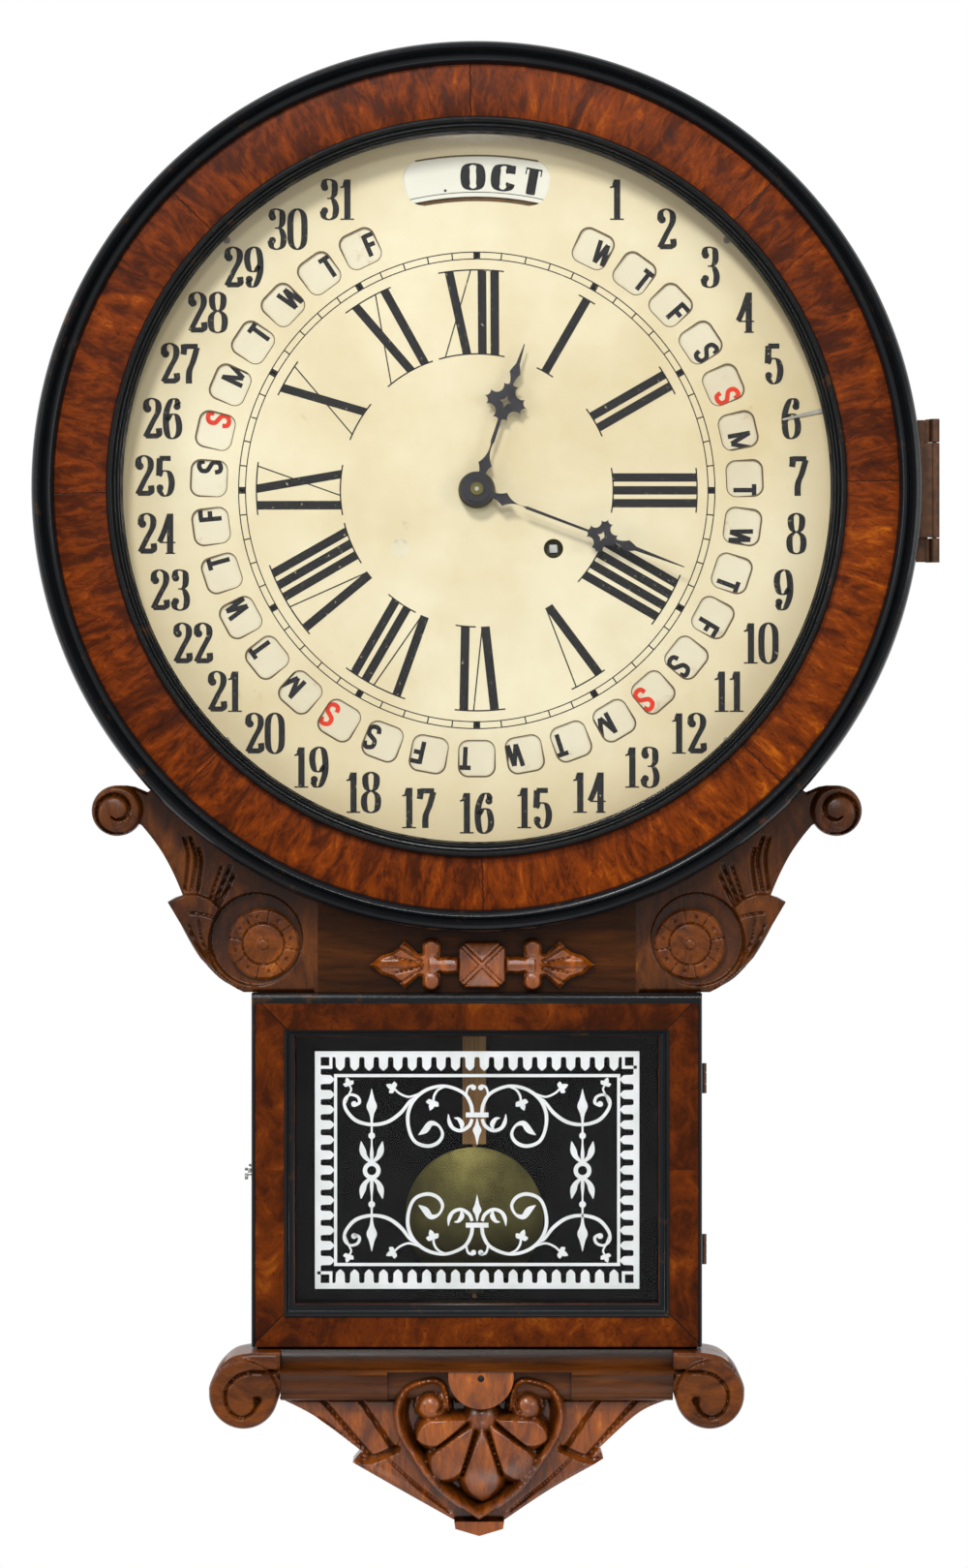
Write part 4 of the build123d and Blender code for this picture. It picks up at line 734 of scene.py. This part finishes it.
copied("windowEdges", shadowLine, dial["face"], "turnedCopies",
       [(dates["days"], (0, math.pi - 15 * pitch, 0), (0, pitch, 0))], "shadowLine", "case")
# painted shadow lines along the month window's outer and inner edges, the outer one wider
monthWindow = Artwork()
for ring, width in monthShadow["lines"]:
    monthWindow.add(arcBand(ring, width, -monthShadow["turn"], monthShadow["turn"]))
monthWindow.make("monthWindowEdge", dial["face"], "shadowLine", "case")
numerals.make("dialNumerals", dial["face"], "ink", "case")

weekdays = "WtFSSMt"
blackLetters = Artwork()
redLetters = Artwork()
for number in range(35):
    angle = 180 - (15 - number) * dial["datePitch"] + dayLetters["turn"]
    sign = weekdays[number % 7]
    art = redLetters if number % 7 == 4 else blackLetters
    letter(art, sign, dayLetters, dayLetters["wide" if sign in "WM" else "narrow"], 0, onDial(angle, dial["dayRadius"]))
blackLetters.make("weekdayLetters", dial["cardFace"], "printInk", "weekday_ring")
redLetters.make("sundayLetters", dial["cardFace"], "redInk", "weekday_ring")
monthName = Artwork()
for sign, turn, width in monthLetters["places"]:
    letter(monthName, sign, monthLetters, width, 0, onDial(turn, dial["monthRadius"]))
monthName.add(arcBand(*monthLetters["line"]))
monthName.make("monthName", dial["cardFace"], "printInk", "month_ring")
print("dial lettering made")


# Turned bezel: profiles of radius and depth carried round the clock's axis

def hoop(name, stations, finish, body, nodes):
    count, around = len(stations[0]), len(stations)
    faces = []
    for step in range(around):
        first, after = step * count, (step + 1) % around * count
        faces += [(first + spot, first + (spot + 1) % count, after + (spot + 1) % count, after + spot)
                  for spot in range(count)]
    return addMesh(name, [point for station in stations for point in station], faces, finish, body, nodes)


def turnedRing(name, profile, finish, body, nodes, sides=320):
    stations = []
    for step in range(sides):
        angle = 2 * math.pi * step / sides
        stations.append([place(radius * math.sin(angle), depth, radius * math.cos(angle)) for radius, depth in profile])
    return hoop(name, stations, finish, body, nodes)


bezel = {
    "outer": [(244.6, 90.1), (248.2, 90.3), (249.2, 92.5), (249.9, 97), (249.95, 104), (249.8, 109), (249.2, 113),
              (248.4, 115.9), (247.2, 117.6), (245.8, 118), (244.6, 116.9), (243.8, 114.6), (243.4, 112.2),
              (243.1, 110.8), (242.5, 111.0), (242, 112.6), (240.8, 113.4), (239.4, 113.2), (238.2, 112),
              (237.6, 110.2), (237.1, 108.2), (237.1, 104.8), (244.6, 104.8)],
    "veneer": [(203.5, 90.1), (244.3, 90.1), (244.3, 104.6), (237.1, 104.6), (237.0, 107.7), (234, 108), (222, 108.15),
               (211, 108), (208.1, 107.7), (208.0, 103.9), (203.5, 103.9)],
    "inner": [(208.1, 104.2), (208.0, 109.8), (207.5, 112.2), (206.6, 113.6), (205.5, 113.7), (204.7, 112.6),
              (204.2, 111), (203.8, 110.6), (203.3, 111.1), (202.8, 111), (202.4, 109.6), (202.0, 108.9),
              (201.6, 109.2), (201.2, 108.8), (200.9, 107.4), (200.5, 106.8), (200.1, 106.9), (199.8, 106.2),
              (199.4, 104.2), (199.0, 103.4), (199.0, 101.8), (203.3, 101.8), (203.3, 104.2)],
}
turnedRing("bezelOuterMoulding", bezel["outer"], "ebony", "bezel", ["bezel_outer_moulding"])
turnedRing("bezelVeneerRing", bezel["veneer"], "bezelVeneer", "bezel", ["bezel_ring"])
turnedRing("bezelInnerMoulding", bezel["inner"], "ebony", "bezel", ["bezel_inner_moulding"])
print("bezel turned")


# Door mouldings: a profile carried round a rectangle, mitred at its corners

def rectMoulding(name, profile, insets, finish, body, nodes):
    stations = []
    for sideX, sideZ in ((-1, 1), (1, 1), (1, -1), (-1, -1)):
        station = []
        for share, depth in profile:
            left, top, bottom = (start + (end - start) * share for start, end in insets)
            x = door["left"] + left if sideX < 0 else door["right"] - left
            z = door["top"] - top if sideZ > 0 else door["bottom"] + bottom
            station.append(place(x, depth, z))
        stations.append(station)
    return hoop(name, stations, finish, body, nodes)


innerSteps = [(0, 98.4), (0.03, 99.5), (0.14, 100), (0.28, 99.95), (0.38, 99.2), (0.44, 98.8), (0.54, 98.75),
              (0.64, 99.2), (0.78, 99.3), (0.90, 98.9), (1.0, 98.2), (1.02, 97.0), (1.02, 90.2), (0.96, 90.2),
              (0.96, 98.0)]
rectMoulding("doorInnerMoulding", innerSteps, [(18.4, 24.5), (20.4, 24.0), (16.6, 24.3)], "ebony", "pendulum_door",
             ["door_inner_moulding"])
stopSteps = [(0, 84), (0, 87.9), (1, 87.9), (1, 84)]  # behind the glass
rectMoulding("doorGlassStops", stopSteps, [(20.6, 24.5), (20.1, 24.0), (20.4, 24.3)], "ebony", "pendulum_door",
             ["door_inner_moulding"])
beadSteps = [(0, 80.3), (0, 97.6), (0.16, 99.3), (0.45, 99.95), (0.8, 99.5), (1.0, 98.6), (1.0, 80.3)]
rectMoulding("doorOuterBead", beadSteps, [(0, 2.2), (0, 5.5), (0, 0.02)], "ebony", "pendulum_door", ["door_outer_bead"])
print("door mouldings made")


# Painted scrollwork on the lower glass, drawn for one quarter and repeated four ways

tablet = {"middle": (0.2, -384.9), "scale": 7.308, "depth": 87.96, "centre": (771, 595)}
scrollwork = Artwork()


def fourWays(shape, across=True, down=True):
    for flipX in ((1, -1) if across else (1,)):
        for flipZ in ((1, -1) if down else (1,)):
            def move(point, flipX=flipX, flipZ=flipZ):
                u = (point[0] - tablet["centre"][0]) / tablet["scale"]
                v = (tablet["centre"][1] - point[1]) / tablet["scale"]
                return tablet["middle"][0] + flipX * u, tablet["middle"][1] + flipZ * v
            scrollwork.add(shape, move)


def vine(points):  # a curved stroke: x, y and width at each point
    line = curve(points, 8)
    return ribbon(line, [max(point[2], 0.6) for point in line])


def trefoil(x, y, size, turn):
    for lean, reach in ((-62, 0.86), (0, 1.15), (62, 0.86)):
        angle = math.radians(turn + lean)
        ahead = np.array([math.cos(angle), math.sin(angle)]) * size * reach
        stops = ((0, 4), (0.3, 16), (0.6, 21), (0.85, 10), (1, 1))
        fourWays(vine([(x + ahead[0] * part, y + ahead[1] * part, width * size / 34) for part, width in stops]))


vines = [
    [(752, 374, 13), (746, 325, 15), (715, 277, 14), (640, 248, 13), (565, 262, 14), (510, 305, 15), (485, 365, 15),
     (490, 430, 14), (515, 478, 14), (565, 496, 15), (608, 482, 15), (628, 448, 13), (612, 412, 11), (580, 402, 22),
     (556, 430, 26), (528, 450, 2)],
    [(752, 374, 14), (744, 325, 10), (727, 288, 9), (734, 254, 10), (756, 246, 12)],
    [(750, 384, 13), (738, 412, 15), (705, 432, 14), (672, 422, 15), (656, 396, 16), (652, 364, 3)],
    [(704, 428, 4), (708, 405, 20), (694, 384, 14), (676, 380, 3)],
    [(530, 290, 4), (495, 308, 11), (455, 358, 15), (400, 396, 15), (335, 407, 14), (270, 390, 15), (230, 347, 14),
     (222, 308, 12), (245, 284, 11), (276, 292, 12), (284, 316, 13), (262, 330, 10)],
    [(560, 264, 4), (520, 284, 9), (485, 292, 9), (450, 278, 9), (428, 258, 8)],
    [(228, 320, 3), (240, 284, 7), (250, 262, 8), (243, 244, 7)],
    [(650, 248, 3), (612, 262, 9), (594, 286, 10), (590, 310, 9)],
    [(335, 258, 1), (335, 300, 22), (335, 332, 43), (335, 366, 18), (335, 402, 9), (335, 445, 9)],
    [(335, 462, 9), (335, 486, 7), (335, 530, 15), (335, 566, 10)],
    [(335, 566, 8), (308, 540, 20), (297, 512, 26), (291, 476, 2)],
    [(335, 566, 8), (362, 540, 20), (373, 512, 26), (380, 476, 2)],
]
for points in vines:
    fourWays(vine(points))
for x, y, turn, size in ((430, 258, 205, 34), (242, 244, 250, 30), (590, 310, 110, 36)):
    trefoil(x, y, size, turn)
for x, y, radius in ((756, 254, 11), (262, 322, 12), (335, 453, 14)):
    fourWays(disc(x, y, radius))
fourWays(vine([(771, 382, 4), (771, 410, 18), (771, 430, 36), (771, 455, 18), (771, 492, 2)]), across=False)
fourWays(ribbon([(724, 367), (818, 367)], [20, 20]), across=False)
ringLine = [(335 + 28 * math.cos(turn), 597 + 28 * math.sin(turn)) for turn in np.arange(24) * math.pi / 12]
fourWays(ribbon(ringLine, [18] * 24, True), down=False)
frameBand = {"outer": (671, 491), "outerWidth": 24, "inner": (592, 397), "innerWidth": 13, "box": 66,
             "boxArm": (-56, 6), "rows": (("Top", 20, 59.6), ("Side", 13, 62.4)),
             # how far in from the band's edge, and how wide
             "tooth": ((23.5, 46), (30, 38), (64, 36), (72, 23), (80, 4))}
cx, cy = tablet["centre"]
for half, width in ((frameBand["outer"], frameBand["outerWidth"]), (frameBand["inner"], frameBand["innerWidth"])):
    halfX, halfZ = half[0] - width / 2, half[1] - width / 2
    fourWays(ribbon([(cx - half[0], cy - halfZ), (cx + half[0], cy - halfZ)], [width] * 2), across=False)
    fourWays(ribbon([(cx - halfX, cy - halfZ), (cx - halfX, cy + halfZ)], [width] * 2), down=False)
for side, count, pitch in frameBand["rows"]:
    alongX = side == "Top"
    half = frameBand["outer"][1 if alongX else 0]
    step = place(pitch / tablet["scale"], 0, 0) if alongX else place(0, 0, pitch / tablet["scale"])
    start = place(tablet["middle"][0], 0, tablet["middle"][1]) - step * ((count - 1) / 2)
    for sign, end in ((-1, "Low"), (1, "High")):
        line = [(0, sign * (half - inward) / tablet["scale"]) for inward, width in frameBand["tooth"]]
        tooth = Artwork()
        tooth.add(ribbon([point if alongX else point[::-1] for point in line],
                         [width / tablet["scale"] for inward, width in frameBand["tooth"]]))
        copied("borderTeeth" + side + end, tooth, tablet["depth"], "rowCopies", [(count, start, step)], "stencil",
               "pendulum_door")
boxX, boxY = (cx - frameBand["outer"][0] + frameBand["box"], cy - frameBand["outer"][1] + frameBand["box"])
for ends in ([(boxX, boxY + arm) for arm in frameBand["boxArm"]], [(boxX + arm, boxY) for arm in frameBand["boxArm"]]):
    fourWays(ribbon(ends, [frameBand["innerWidth"]] * 2))
scrollwork.make("glassScrollwork", tablet["depth"], "stencil", "pendulum_door")

sheet = {"half": 110, "top": -292, "bottom": -483, "depth": 8.3}
labelSheet = Artwork()
labelSheet.add(slab(-sheet["half"], sheet["bottom"], sheet["half"], sheet["top"]))
labelSheet.make("labelSheet", sheet["depth"], "label", "case")
print("glass painted")


# Carving: an outline filled with fine triangles, raised and cut by its own pattern

def lineDistance(points, line, closed=False):
    line = np.array(line, float)
    starts, ends = (line, np.roll(line, -1, 0)) if closed else (line[:-1], line[1:])
    best = np.full(len(points), 1e9)
    for start, end in zip(starts, ends):
        along = end - start
        share = np.clip(((points - start) @ along) / max(along @ along, 1e-9), 0, 1)
        best = np.minimum(best, np.linalg.norm(points - start - share[:, None] * along, axis=1))
    return best


def insideOf(points, outline):
    x, z = points.T
    inside = np.zeros(len(points), bool)
    for (x0, z0), (x1, z1) in zip(outline, np.roll(outline, -1, 0)):
        if z0 != z1:
            inside ^= ((z0 > z) != (z1 > z)) & (x < (x1 - x0) * (z - z0) / (z1 - z0) + x0)
    return inside


def soft(value):  # an eased step from 0 to 1
    value = np.clip(value, 0, 1)
    return value * value * (3 - 2 * value)


def near(distance, reach):  # 1 at no distance, falling to 0 at the reach
    return np.clip(1 - distance / reach, 0, 1)


def awayFrom(points, centre):
    return np.hypot(points[:, 0] - centre[0], points[:, 1] - centre[1])


def cutLine(points, line, width, depth):  # a V groove; a negative depth is a raised rib
    return -depth * near(lineDistance(points, line), width / 2) ** 0.8


def cutLines(points, lines, width, depth):
    return sum(cutLine(points, line, width, depth) for line in lines)


def raisedArea(points, area, height, slope):
    away = lineDistance(points, area, True) * np.where(insideOf(points, np.array(area, float)), 1, -1)
    return height * soft(away / slope + 0.5)


def spiral(points, centre, radius, pitch, start, depth, hand=1):
    dx, dz = points[:, 0] - centre[0], points[:, 1] - centre[1]
    away = np.hypot(dx, dz)
    turn = (np.arctan2(dz, dx) * hand - math.radians(start)) / (2 * math.pi)
    phase = np.abs(((away / pitch - turn) % 1) - 0.5) * 2
    groove = near(phase, 0.34) * (away < radius - 1.2) * (away > pitch * 0.5)
    return -depth * groove


def dome(points, centre, radius, height, power=0.5):
    away = awayFrom(points, centre) / radius
    return height * np.clip(1 - away * away, 0, 1) ** power


def spaced(outline, cell):
    outline = np.array(outline, float)
    out = []
    for start, end in zip(outline, np.roll(outline, -1, 0)):
        steps = max(1, int(round(np.linalg.norm(end - start) / cell)))
        out += [start + (end - start) * step / steps for step in range(steps)]
    return np.array(out)


def carve(name, outline, back, front, pattern, finish, body, nodes, cell=1.0, sides=(1,), middle=0.0):
    rim = spaced(outline, cell)
    low, high = rim.min(0), rim.max(0)
    across = np.arange(low[0], high[0], cell)
    down = np.arange(low[1], high[1], cell * 0.87)
    grid = np.array([(x + (row % 2) * cell / 2, z) for row, z in enumerate(down) for x in across])
    grid = grid[insideOf(grid, rim)]
    grid = grid[lineDistance(grid, rim, True) > cell * 0.55]
    flat = np.concatenate([rim, grid])
    edges = [(spot, (spot + 1) % len(rim)) for spot in range(len(rim))]
    made = geometry.delaunay_2d_cdt([Vector(point) for point in flat], edges, [], 1, 1e-5)
    spots = np.array([tuple(vert) for vert in made[0]])
    heights = front + pattern(spots, lineDistance(spots, rim, True))
    points, faces = [], []
    for side in sides:
        first = len(points)
        points += [place(middle + side * (x - middle), depth, z) for (x, z), depth in zip(spots, heights)]
        faces += [tuple(first + corner for corner in face) for face in made[2]]
    mesh, work = rawMesh(name, points, faces, finish)
    rimEdges = [edge for edge in work.edges if edge.is_boundary]
    pulled = bmesh.ops.extrude_edge_only(work, edges=rimEdges)
    backEdges = [item for item in pulled["geom"] if isinstance(item, bmesh.types.BMEdge)]
    for vert in pulled["geom"]:
        if isinstance(vert, bmesh.types.BMVert):
            vert.co.y = -back / 1000
    bmesh.ops.holes_fill(work, edges=[edge for edge in backEdges if edge.is_boundary])
    return addPiece(name, closeMesh(mesh, work, 48), body, nodes)


def arcPoints(centre, radius, start, end, step=6):  # degrees from +x towards +z
    count = max(2, int(abs(end - start) / step))
    angles = np.radians(start + (end - start) * np.arange(count + 1) / count)
    return [(centre[0] + radius * math.cos(a), centre[1] + radius * math.sin(a)) for a in angles]


ear = {"volute": (203.6, -181.6), "voluteR": 14.3, "boss": (120.7, -256.9), "drumR": 244.3,
       "onDrum": ((179.2, -166.2), (90, -227.2))}
drumEnds = [math.degrees(math.atan2(z, x)) for x, z in ear["onDrum"]]
earOutline = arcPoints((0, 0), ear["drumR"], *drumEnds, 1.2)
earOutline += [(90, -284.3), (132, -284.3)]
earOutline += smoothLine([(134.5, -283), (145.8, -276.2), (156.4, -264.8), (162.6, -255.2), (167.3, -245.9)], 4)
earOutline += [(174.9, -233.1), (170.6, -230.6), (166.5, -229.3)]
earOutline += smoothLine([(166.5, -229.3), (171.4, -217.8), (177.4, -206.4), (183.6, -197.4), (189.6, -190.0)], 4)
earOutline += arcPoints(ear["volute"], ear["voluteR"], -149, 92, 7)
earOutline += [(198.5, -167.3), (194.0, -168.0), (186.5, -171.2)]
earLeaf = [(134.5, -283.4), (156.4, -265.4), (167.6, -246.2), (176.0, -233.0), (174.6, -233), (166.2, -229.2),
           (159, -228.6), (151.1, -231.5), (145.2, -237), (148.4, -243.5), (151.3, -252), (151.4, -262),
           (147.5, -272)]
earGrooves = [
    [(165.3, -196.7), (163.2, -208), (165.2, -225.7)], [(162, -196.3), (158.9, -208.9), (161.7, -226.1)],
    [(157.2, -202.6), (155.7, -210.5), (157.8, -226.5)], [(144.5, -213.1), (147.6, -222), (150.7, -231.1)],
    [(139.3, -212.6), (143.4, -222), (148.1, -232.8)], [(137.4, -217.4), (141.2, -226), (145.8, -234.9)]]
leafFolds = [[(162, -239.1), (153.6, -240.3), (147.3, -242.3)], [(157.4, -242.8), (155.7, -253.4), (149.4, -268.4)],
             [(163, -246), (158.5, -256), (150.6, -270)]]


def earPattern(points, edge):
    height = -1.1 * (1 - soft(edge / 1.8)) * (np.abs(points[:, 0]) > 92)
    grooves = [curve(line, 6) for line in earGrooves]
    height += cutLines(points, grooves, 2.6, 1.7)
    height += cutLine(points, curve([(186.0, -193.5), (173.8, -209), (163.8, -227.5)], 6), 1.5, 0.5)
    height += raisedArea(points, earLeaf, 3.0, 1.2)
    height += cutLines(points, [curve(line, 6) for line in leafFolds], 2.4, 1.4)
    aside, rise = points[:, 0] - ear["boss"][0] - 4.0, points[:, 1] - ear["boss"][1] - 2.5
    away = np.hypot(aside, rise)
    bowl = 1 - soft((away - 26.8 + 1.3) / 1.3)
    height = height * (1 - bowl) - (2.9 + 2.3 * (aside * 0.75 + rise * 0.66) / np.maximum(away, 1e-6)) * bowl
    volute = awayFrom(points, ear["volute"]) / ear["voluteR"]
    roll = soft((1.06 - volute) / 0.10)
    curl = 3.2 + dome(points, (205.0, -183.4), 9.6, 2.2)
    curl += spiral(points, ear["volute"], ear["voluteR"], 8.6, 70, 2.6, -1)
    curl -= 1.8 * (1 - soft((1 - volute) / 0.16))
    return height * (1 - roll) + curl * roll


carve("carvedEars", earOutline, 79.8, 88.3, earPattern, "carving", "case", ["ears"], 0.75, (1, -1))


def rosettePattern(points, edge):
    away = awayFrom(points, ear["boss"])
    turn = np.degrees(np.arctan2(points[:, 1] - ear["boss"][1], points[:, 0] - ear["boss"][0]))
    height = -1.4 * (1 - soft(edge / 1.6)) - 1.2 * near(np.abs(away - 11.8), 0.9) + dome(points, ear["boss"], 3.4, 1.5)
    height += dome(points, ear["boss"], 11.0, 0.6, 1)
    lines = np.abs(((turn + 12) % 45) - 22.5)
    height -= 0.8 * np.clip(1 - np.radians(lines) * away / 0.6, 0, 1) * (away > 12.6)
    for step in range(8):
        turn = math.radians(45 * step + 33)
        dot = (ear["boss"][0] + 15.8 * math.cos(turn), ear["boss"][1] + 15.8 * math.sin(turn))
        height -= 1.3 * near(awayFrom(points, dot), 1.1) ** 0.5
    return height


carve("turnedRosettes", arcPoints(ear["boss"], 20.2, 0, 355, 5), 83.4, 90.3, rosettePattern, "rosette", "case",
      ["ear_rosettes"], 0.62, (1, -1))

sprig = {"middle": (3.0, -268.7)}
leafRight = [(13.0, 4.6), (20, 5.2), (24.0, 4.4), (23.4, 8.2)] + arcPoints((28.6, 9.9), 5.3, 170, 10, 16) + [
    (33.6, 6.6), (36.2, 6.2), (39.4, 9.6), (43.8, 13.5), (46.6, 10.2), (50.4, 7.2), (56.8, 5.2), (63.4, 0.2)]
sprigOutline = leafRight + [(x, -z) for x, z in reversed(leafRight[:-1])]
sprigOutline = [(sprig["middle"][0] + x, sprig["middle"][1] + z) for x, z in sprigOutline]


def sprigPattern(points, edge):
    cx, cz = sprig["middle"]
    u, v = points[:, 0] - cx, points[:, 1] - cz
    height = -1.8 * (1 - soft(edge / 2.0)) - 0.05 * np.abs(v) * (u > 34)
    height += cutLines(points - (cx, cz), [[(34, 2.2), (46.5, 10.2)], [(34, -2.2), (46.5, -10.2)],
                                           [(35, 1.2), (50, 4.6)], [(35, -1.2), (50, -4.6)]],
                       1.8, 1.2)
    height += 1.5 * near(np.abs(v), 2.4) * (u > 33)
    height += 1.6 * near(np.abs(v), 4.6) ** 0.5 * (u < 30) * (u > 14)
    height += dome(points, (cx + 28.6, cz + 9.9), 5.3, 1.2) + dome(points, (cx + 28.6, cz - 9.9), 5.3, 1.2)
    return height


carve("throatSprigs", sprigOutline, 88.35, 93.6, sprigPattern, "carvingLight", "case", ["throat_ornament"],
      0.7, (1, -1), sprig["middle"][0])
corners = [(13.2, 9.2), (9.2, 13.2), (-9.2, 13.2), (-13.2, 9.2)]
corners += [(-x, -z) for x, z in corners]
blockOutline = [(sprig["middle"][0] + x, sprig["middle"][1] + z) for x, z in corners]


def blockPattern(points, edge):
    u, v = np.abs(points[:, 0] - sprig["middle"][0]), np.abs(points[:, 1] - sprig["middle"][1])
    gap = np.abs(u - v)
    height = 4.4 * (1 - np.maximum(u, v) / 13.2) - 0.8 * (1 - soft(edge / 1.0))
    height -= 0.9 * near(np.abs(gap - 1.9), 0.75)
    return height


carve("throatBlock", blockOutline, 88.35, 93.2, blockPattern, "carvingLight", "case", [], 0.6)
print("ears and throat carved")


# Bracket under the shelf, its heart scroll and shell, and the scrolls at the shelf's ends

bracket = {"middle": 1.4, "ball": (-25.5, -514.8), "hinge": (3.0, -519.5), "roll": (130.4, -507.7)}
heartLeft = [(1.4, -579.8), (-22.5, -563.4), (-40.6, -539), (-46.0, -527), (-46.6, -514.5), (-40.4, -502.8),
             (-25.5, -497.6), (-17.6, -500.4), (-14.4, -507.0), (-13.6, -513.4)]
heartLeft = smoothLine(heartLeft, 5)
heartOutline = heartLeft + [(2 * bracket["middle"] - x, z) for x, z in reversed(heartLeft[1:])]
leftEdge = smoothLine([(-111, -512.2), (-89.5, -523.4), (-65, -542)], 8)
leftLeaf = smoothLine([(-69.8, -547.8), (-39.4, -565.2), (-12.8, -580)], 8)
rightEdge = smoothLine([(110.2, -512.2), (91.6, -520.2), (69.4, -539.9)], 8)
rightLeaf = smoothLine([(71.3, -546.0), (41.6, -562.6), (15.6, -580)], 8)
bracketOutline = leftEdge + leftLeaf + rightLeaf[::-1] + rightEdge[::-1]


def bracketPattern(points, edge):
    aside = np.stack([np.abs(points[:, 0] - bracket["middle"]), points[:, 1]], 1)
    height = -1.2 * (1 - soft(edge / 2.2)) * (points[:, 1] < -513)
    upper = [(40, -505), (120, -505), (112, -513), (88, -525), (72, -538), (68.5, -543.6), (58, -545.4), (46, -540.5)]
    height -= raisedArea(aside, upper, 2.8, 1.6)
    height += cutLines(aside, [[(88.4, -513), (61.0, -545)], [(67.2, -513), (48.0, -541)]], 3.4, 2.6)
    height += cutLine(aside, curve([(70, -545.2), (60, -546.2), (46, -540.4)], 6), 4.6, 3.4)
    height += cutLine(aside, curve([(51, -546.5), (36, -560), (17, -575)], 6), 2.6, 1.5)
    height += 1.4 * near(lineDistance(aside, curve([(72, -546.6), (42, -562.0), (15, -578.6)], 6)), 4.0)
    return height - raisedArea(points, [(x * 0.93 + 0.1, (z + 540) * 0.93 - 540) for x, z in heartOutline], 7.0, 1.5)


carve("carvedBracket", bracketOutline, 82.1, 102.6, bracketPattern, "carvingLight", "case", ["apron_bracket"],
      0.8)

shellLobes = [(50.0, 0.0, 14.2), (46.0, 36.0, 13.6), (40.0, 69.0, 11.6), (46.0, -36.0, 13.6), (40.0, -69.0, 11.6)]


def lobeField(points):  # how far inside the scalloped shell a point is
    best = np.full(len(points), -1e3)
    for reach, turn, half in shellLobes:
        ahead = np.array([math.sin(math.radians(-turn)), -math.cos(math.radians(turn))])
        away = points - bracket["hinge"]
        along = away @ ahead
        across = np.abs(away @ np.array([ahead[1], -ahead[0]]))
        share = np.clip(along / reach, 0, 1)
        width = half * np.where(share < 0.7, (share / 0.7) ** 0.8,
                                np.sqrt(np.clip(1 - ((share - 0.7) / 0.3) ** 2, 0, 1)))
        best = np.maximum(best, np.where((along > 0) & (along < reach), width - across, -1))
    return best


def heartPattern(points, edge):
    aside = np.stack([-np.abs(points[:, 0] - bracket["middle"]) + bracket["middle"], points[:, 1]], 1)
    rim = 11.6 * soft(edge / 2.4 + 0.35) * (1 - soft((edge - 3.4) / 5.6))
    rim += 1.2 * near(np.abs(edge - 2.7), 1.0)
    rim *= soft((np.abs(points[:, 0] - bracket["middle"]) - 14.4) / 3 + np.maximum(-535 - points[:, 1], 0) / 3)
    field = lobeField(points)
    away = np.linalg.norm(points - bracket["hinge"], axis=1)
    swell = 5.5 + 8.5 * np.sin(np.clip(away / 50, 0, 1) * math.pi) ** 0.7
    shell = swell * np.clip(field / 5.0, 0, 1) ** 0.42
    grooves = []
    for turn in (18, 53, -18, -53):
        ahead = np.array([math.sin(math.radians(-turn)), -math.cos(math.radians(turn))])
        grooves.append([tuple(np.array(bracket["hinge"]) + ahead * reach) for reach in (7, 36)])
    shell += cutLines(points, grooves, 3.0, 3.0) * (field > 0)
    crown = dome(points, (3.0, -521.5), 11.0, 12.5, 0.5)
    ball = dome(aside, bracket["ball"], 10.2, 15.4, 0.42)
    curl = curve([(-33.6, -515.5), (-31.6, -510.2), (-26.6, -507.4), (-21.4, -509.4), (-19.6, -514.2), (-21.4, -517.6)],
                 6)
    ball += cutLine(aside, curl, 2.6, 3.4)
    return np.maximum.reduce([rim, shell * (field > 0), crown, ball])


carve("heartShell", heartOutline, 92.0, 100.4, heartPattern, "carvingLight", "case",
      ["cartouche_scroll", "shell_carving"], 0.75)

shelfFront = [(104.1, -494.9), (110.6, -494.9), (110.3, -500), (109.8, -505), (109, -508.4), (107.8, -510.6),
              (105.9, -512.1), (104.1, -512.1)]
shelfEnds = (-49.9, 52.9)  # the shelf runs on behind the heart
count = len(shelfFront)
points = [place(x, depth, z) for x in shelfEnds for depth, z in shelfFront]
faces = [(spot, (spot + 1) % count, (spot + 1) % count + count, spot + count) for spot in range(count)]
faces += [tuple(range(count)), tuple(range(count, 2 * count))]
addMesh("shelfMiddle", points, faces, "shelf", "case", [])

rollOutline = arcPoints(bracket["roll"], 19.35, 0, -180, 5) + [(110.1, -505), (110.1, -484.6), (126, -484.6)]
rollOutline += smoothLine([(126, -484.6), (137, -487.0), (145.4, -494.5), (149.4, -502.5), (149.75, -507.7)], 4)[1:-1]


def rollPattern(points, edge):
    away = awayFrom(points, bracket["roll"])
    face = soft((19.6 - away) / 1.2)
    height = 2.9 * face - 1.5 * (1 - soft(edge / 2.2))
    path = curve([(112, -495.2), (118.5, -494.9), (126.4, -495.0), (134.3, -497.8), (140.2, -505.4), (139.0, -515.2),
                  (132.3, -520.4), (125.6, -517.8), (122.2, -511.4)], 6)
    height += cutLine(points, path, 3.0, 3.2)
    height += 0.9 * near(lineDistance(points, path), 4.4) * face
    height -= 3.4 * near(awayFrom(points, (122.6, -510.8)), 2.6) ** 0.5
    return np.minimum(height, 2.95)


carve("shelfEndScrolls", rollOutline, 74.1, 115.0, rollPattern, "scroll", "case", ["shelf_scrolls"], 0.9,
      (1, -1))
print("bracket carved")
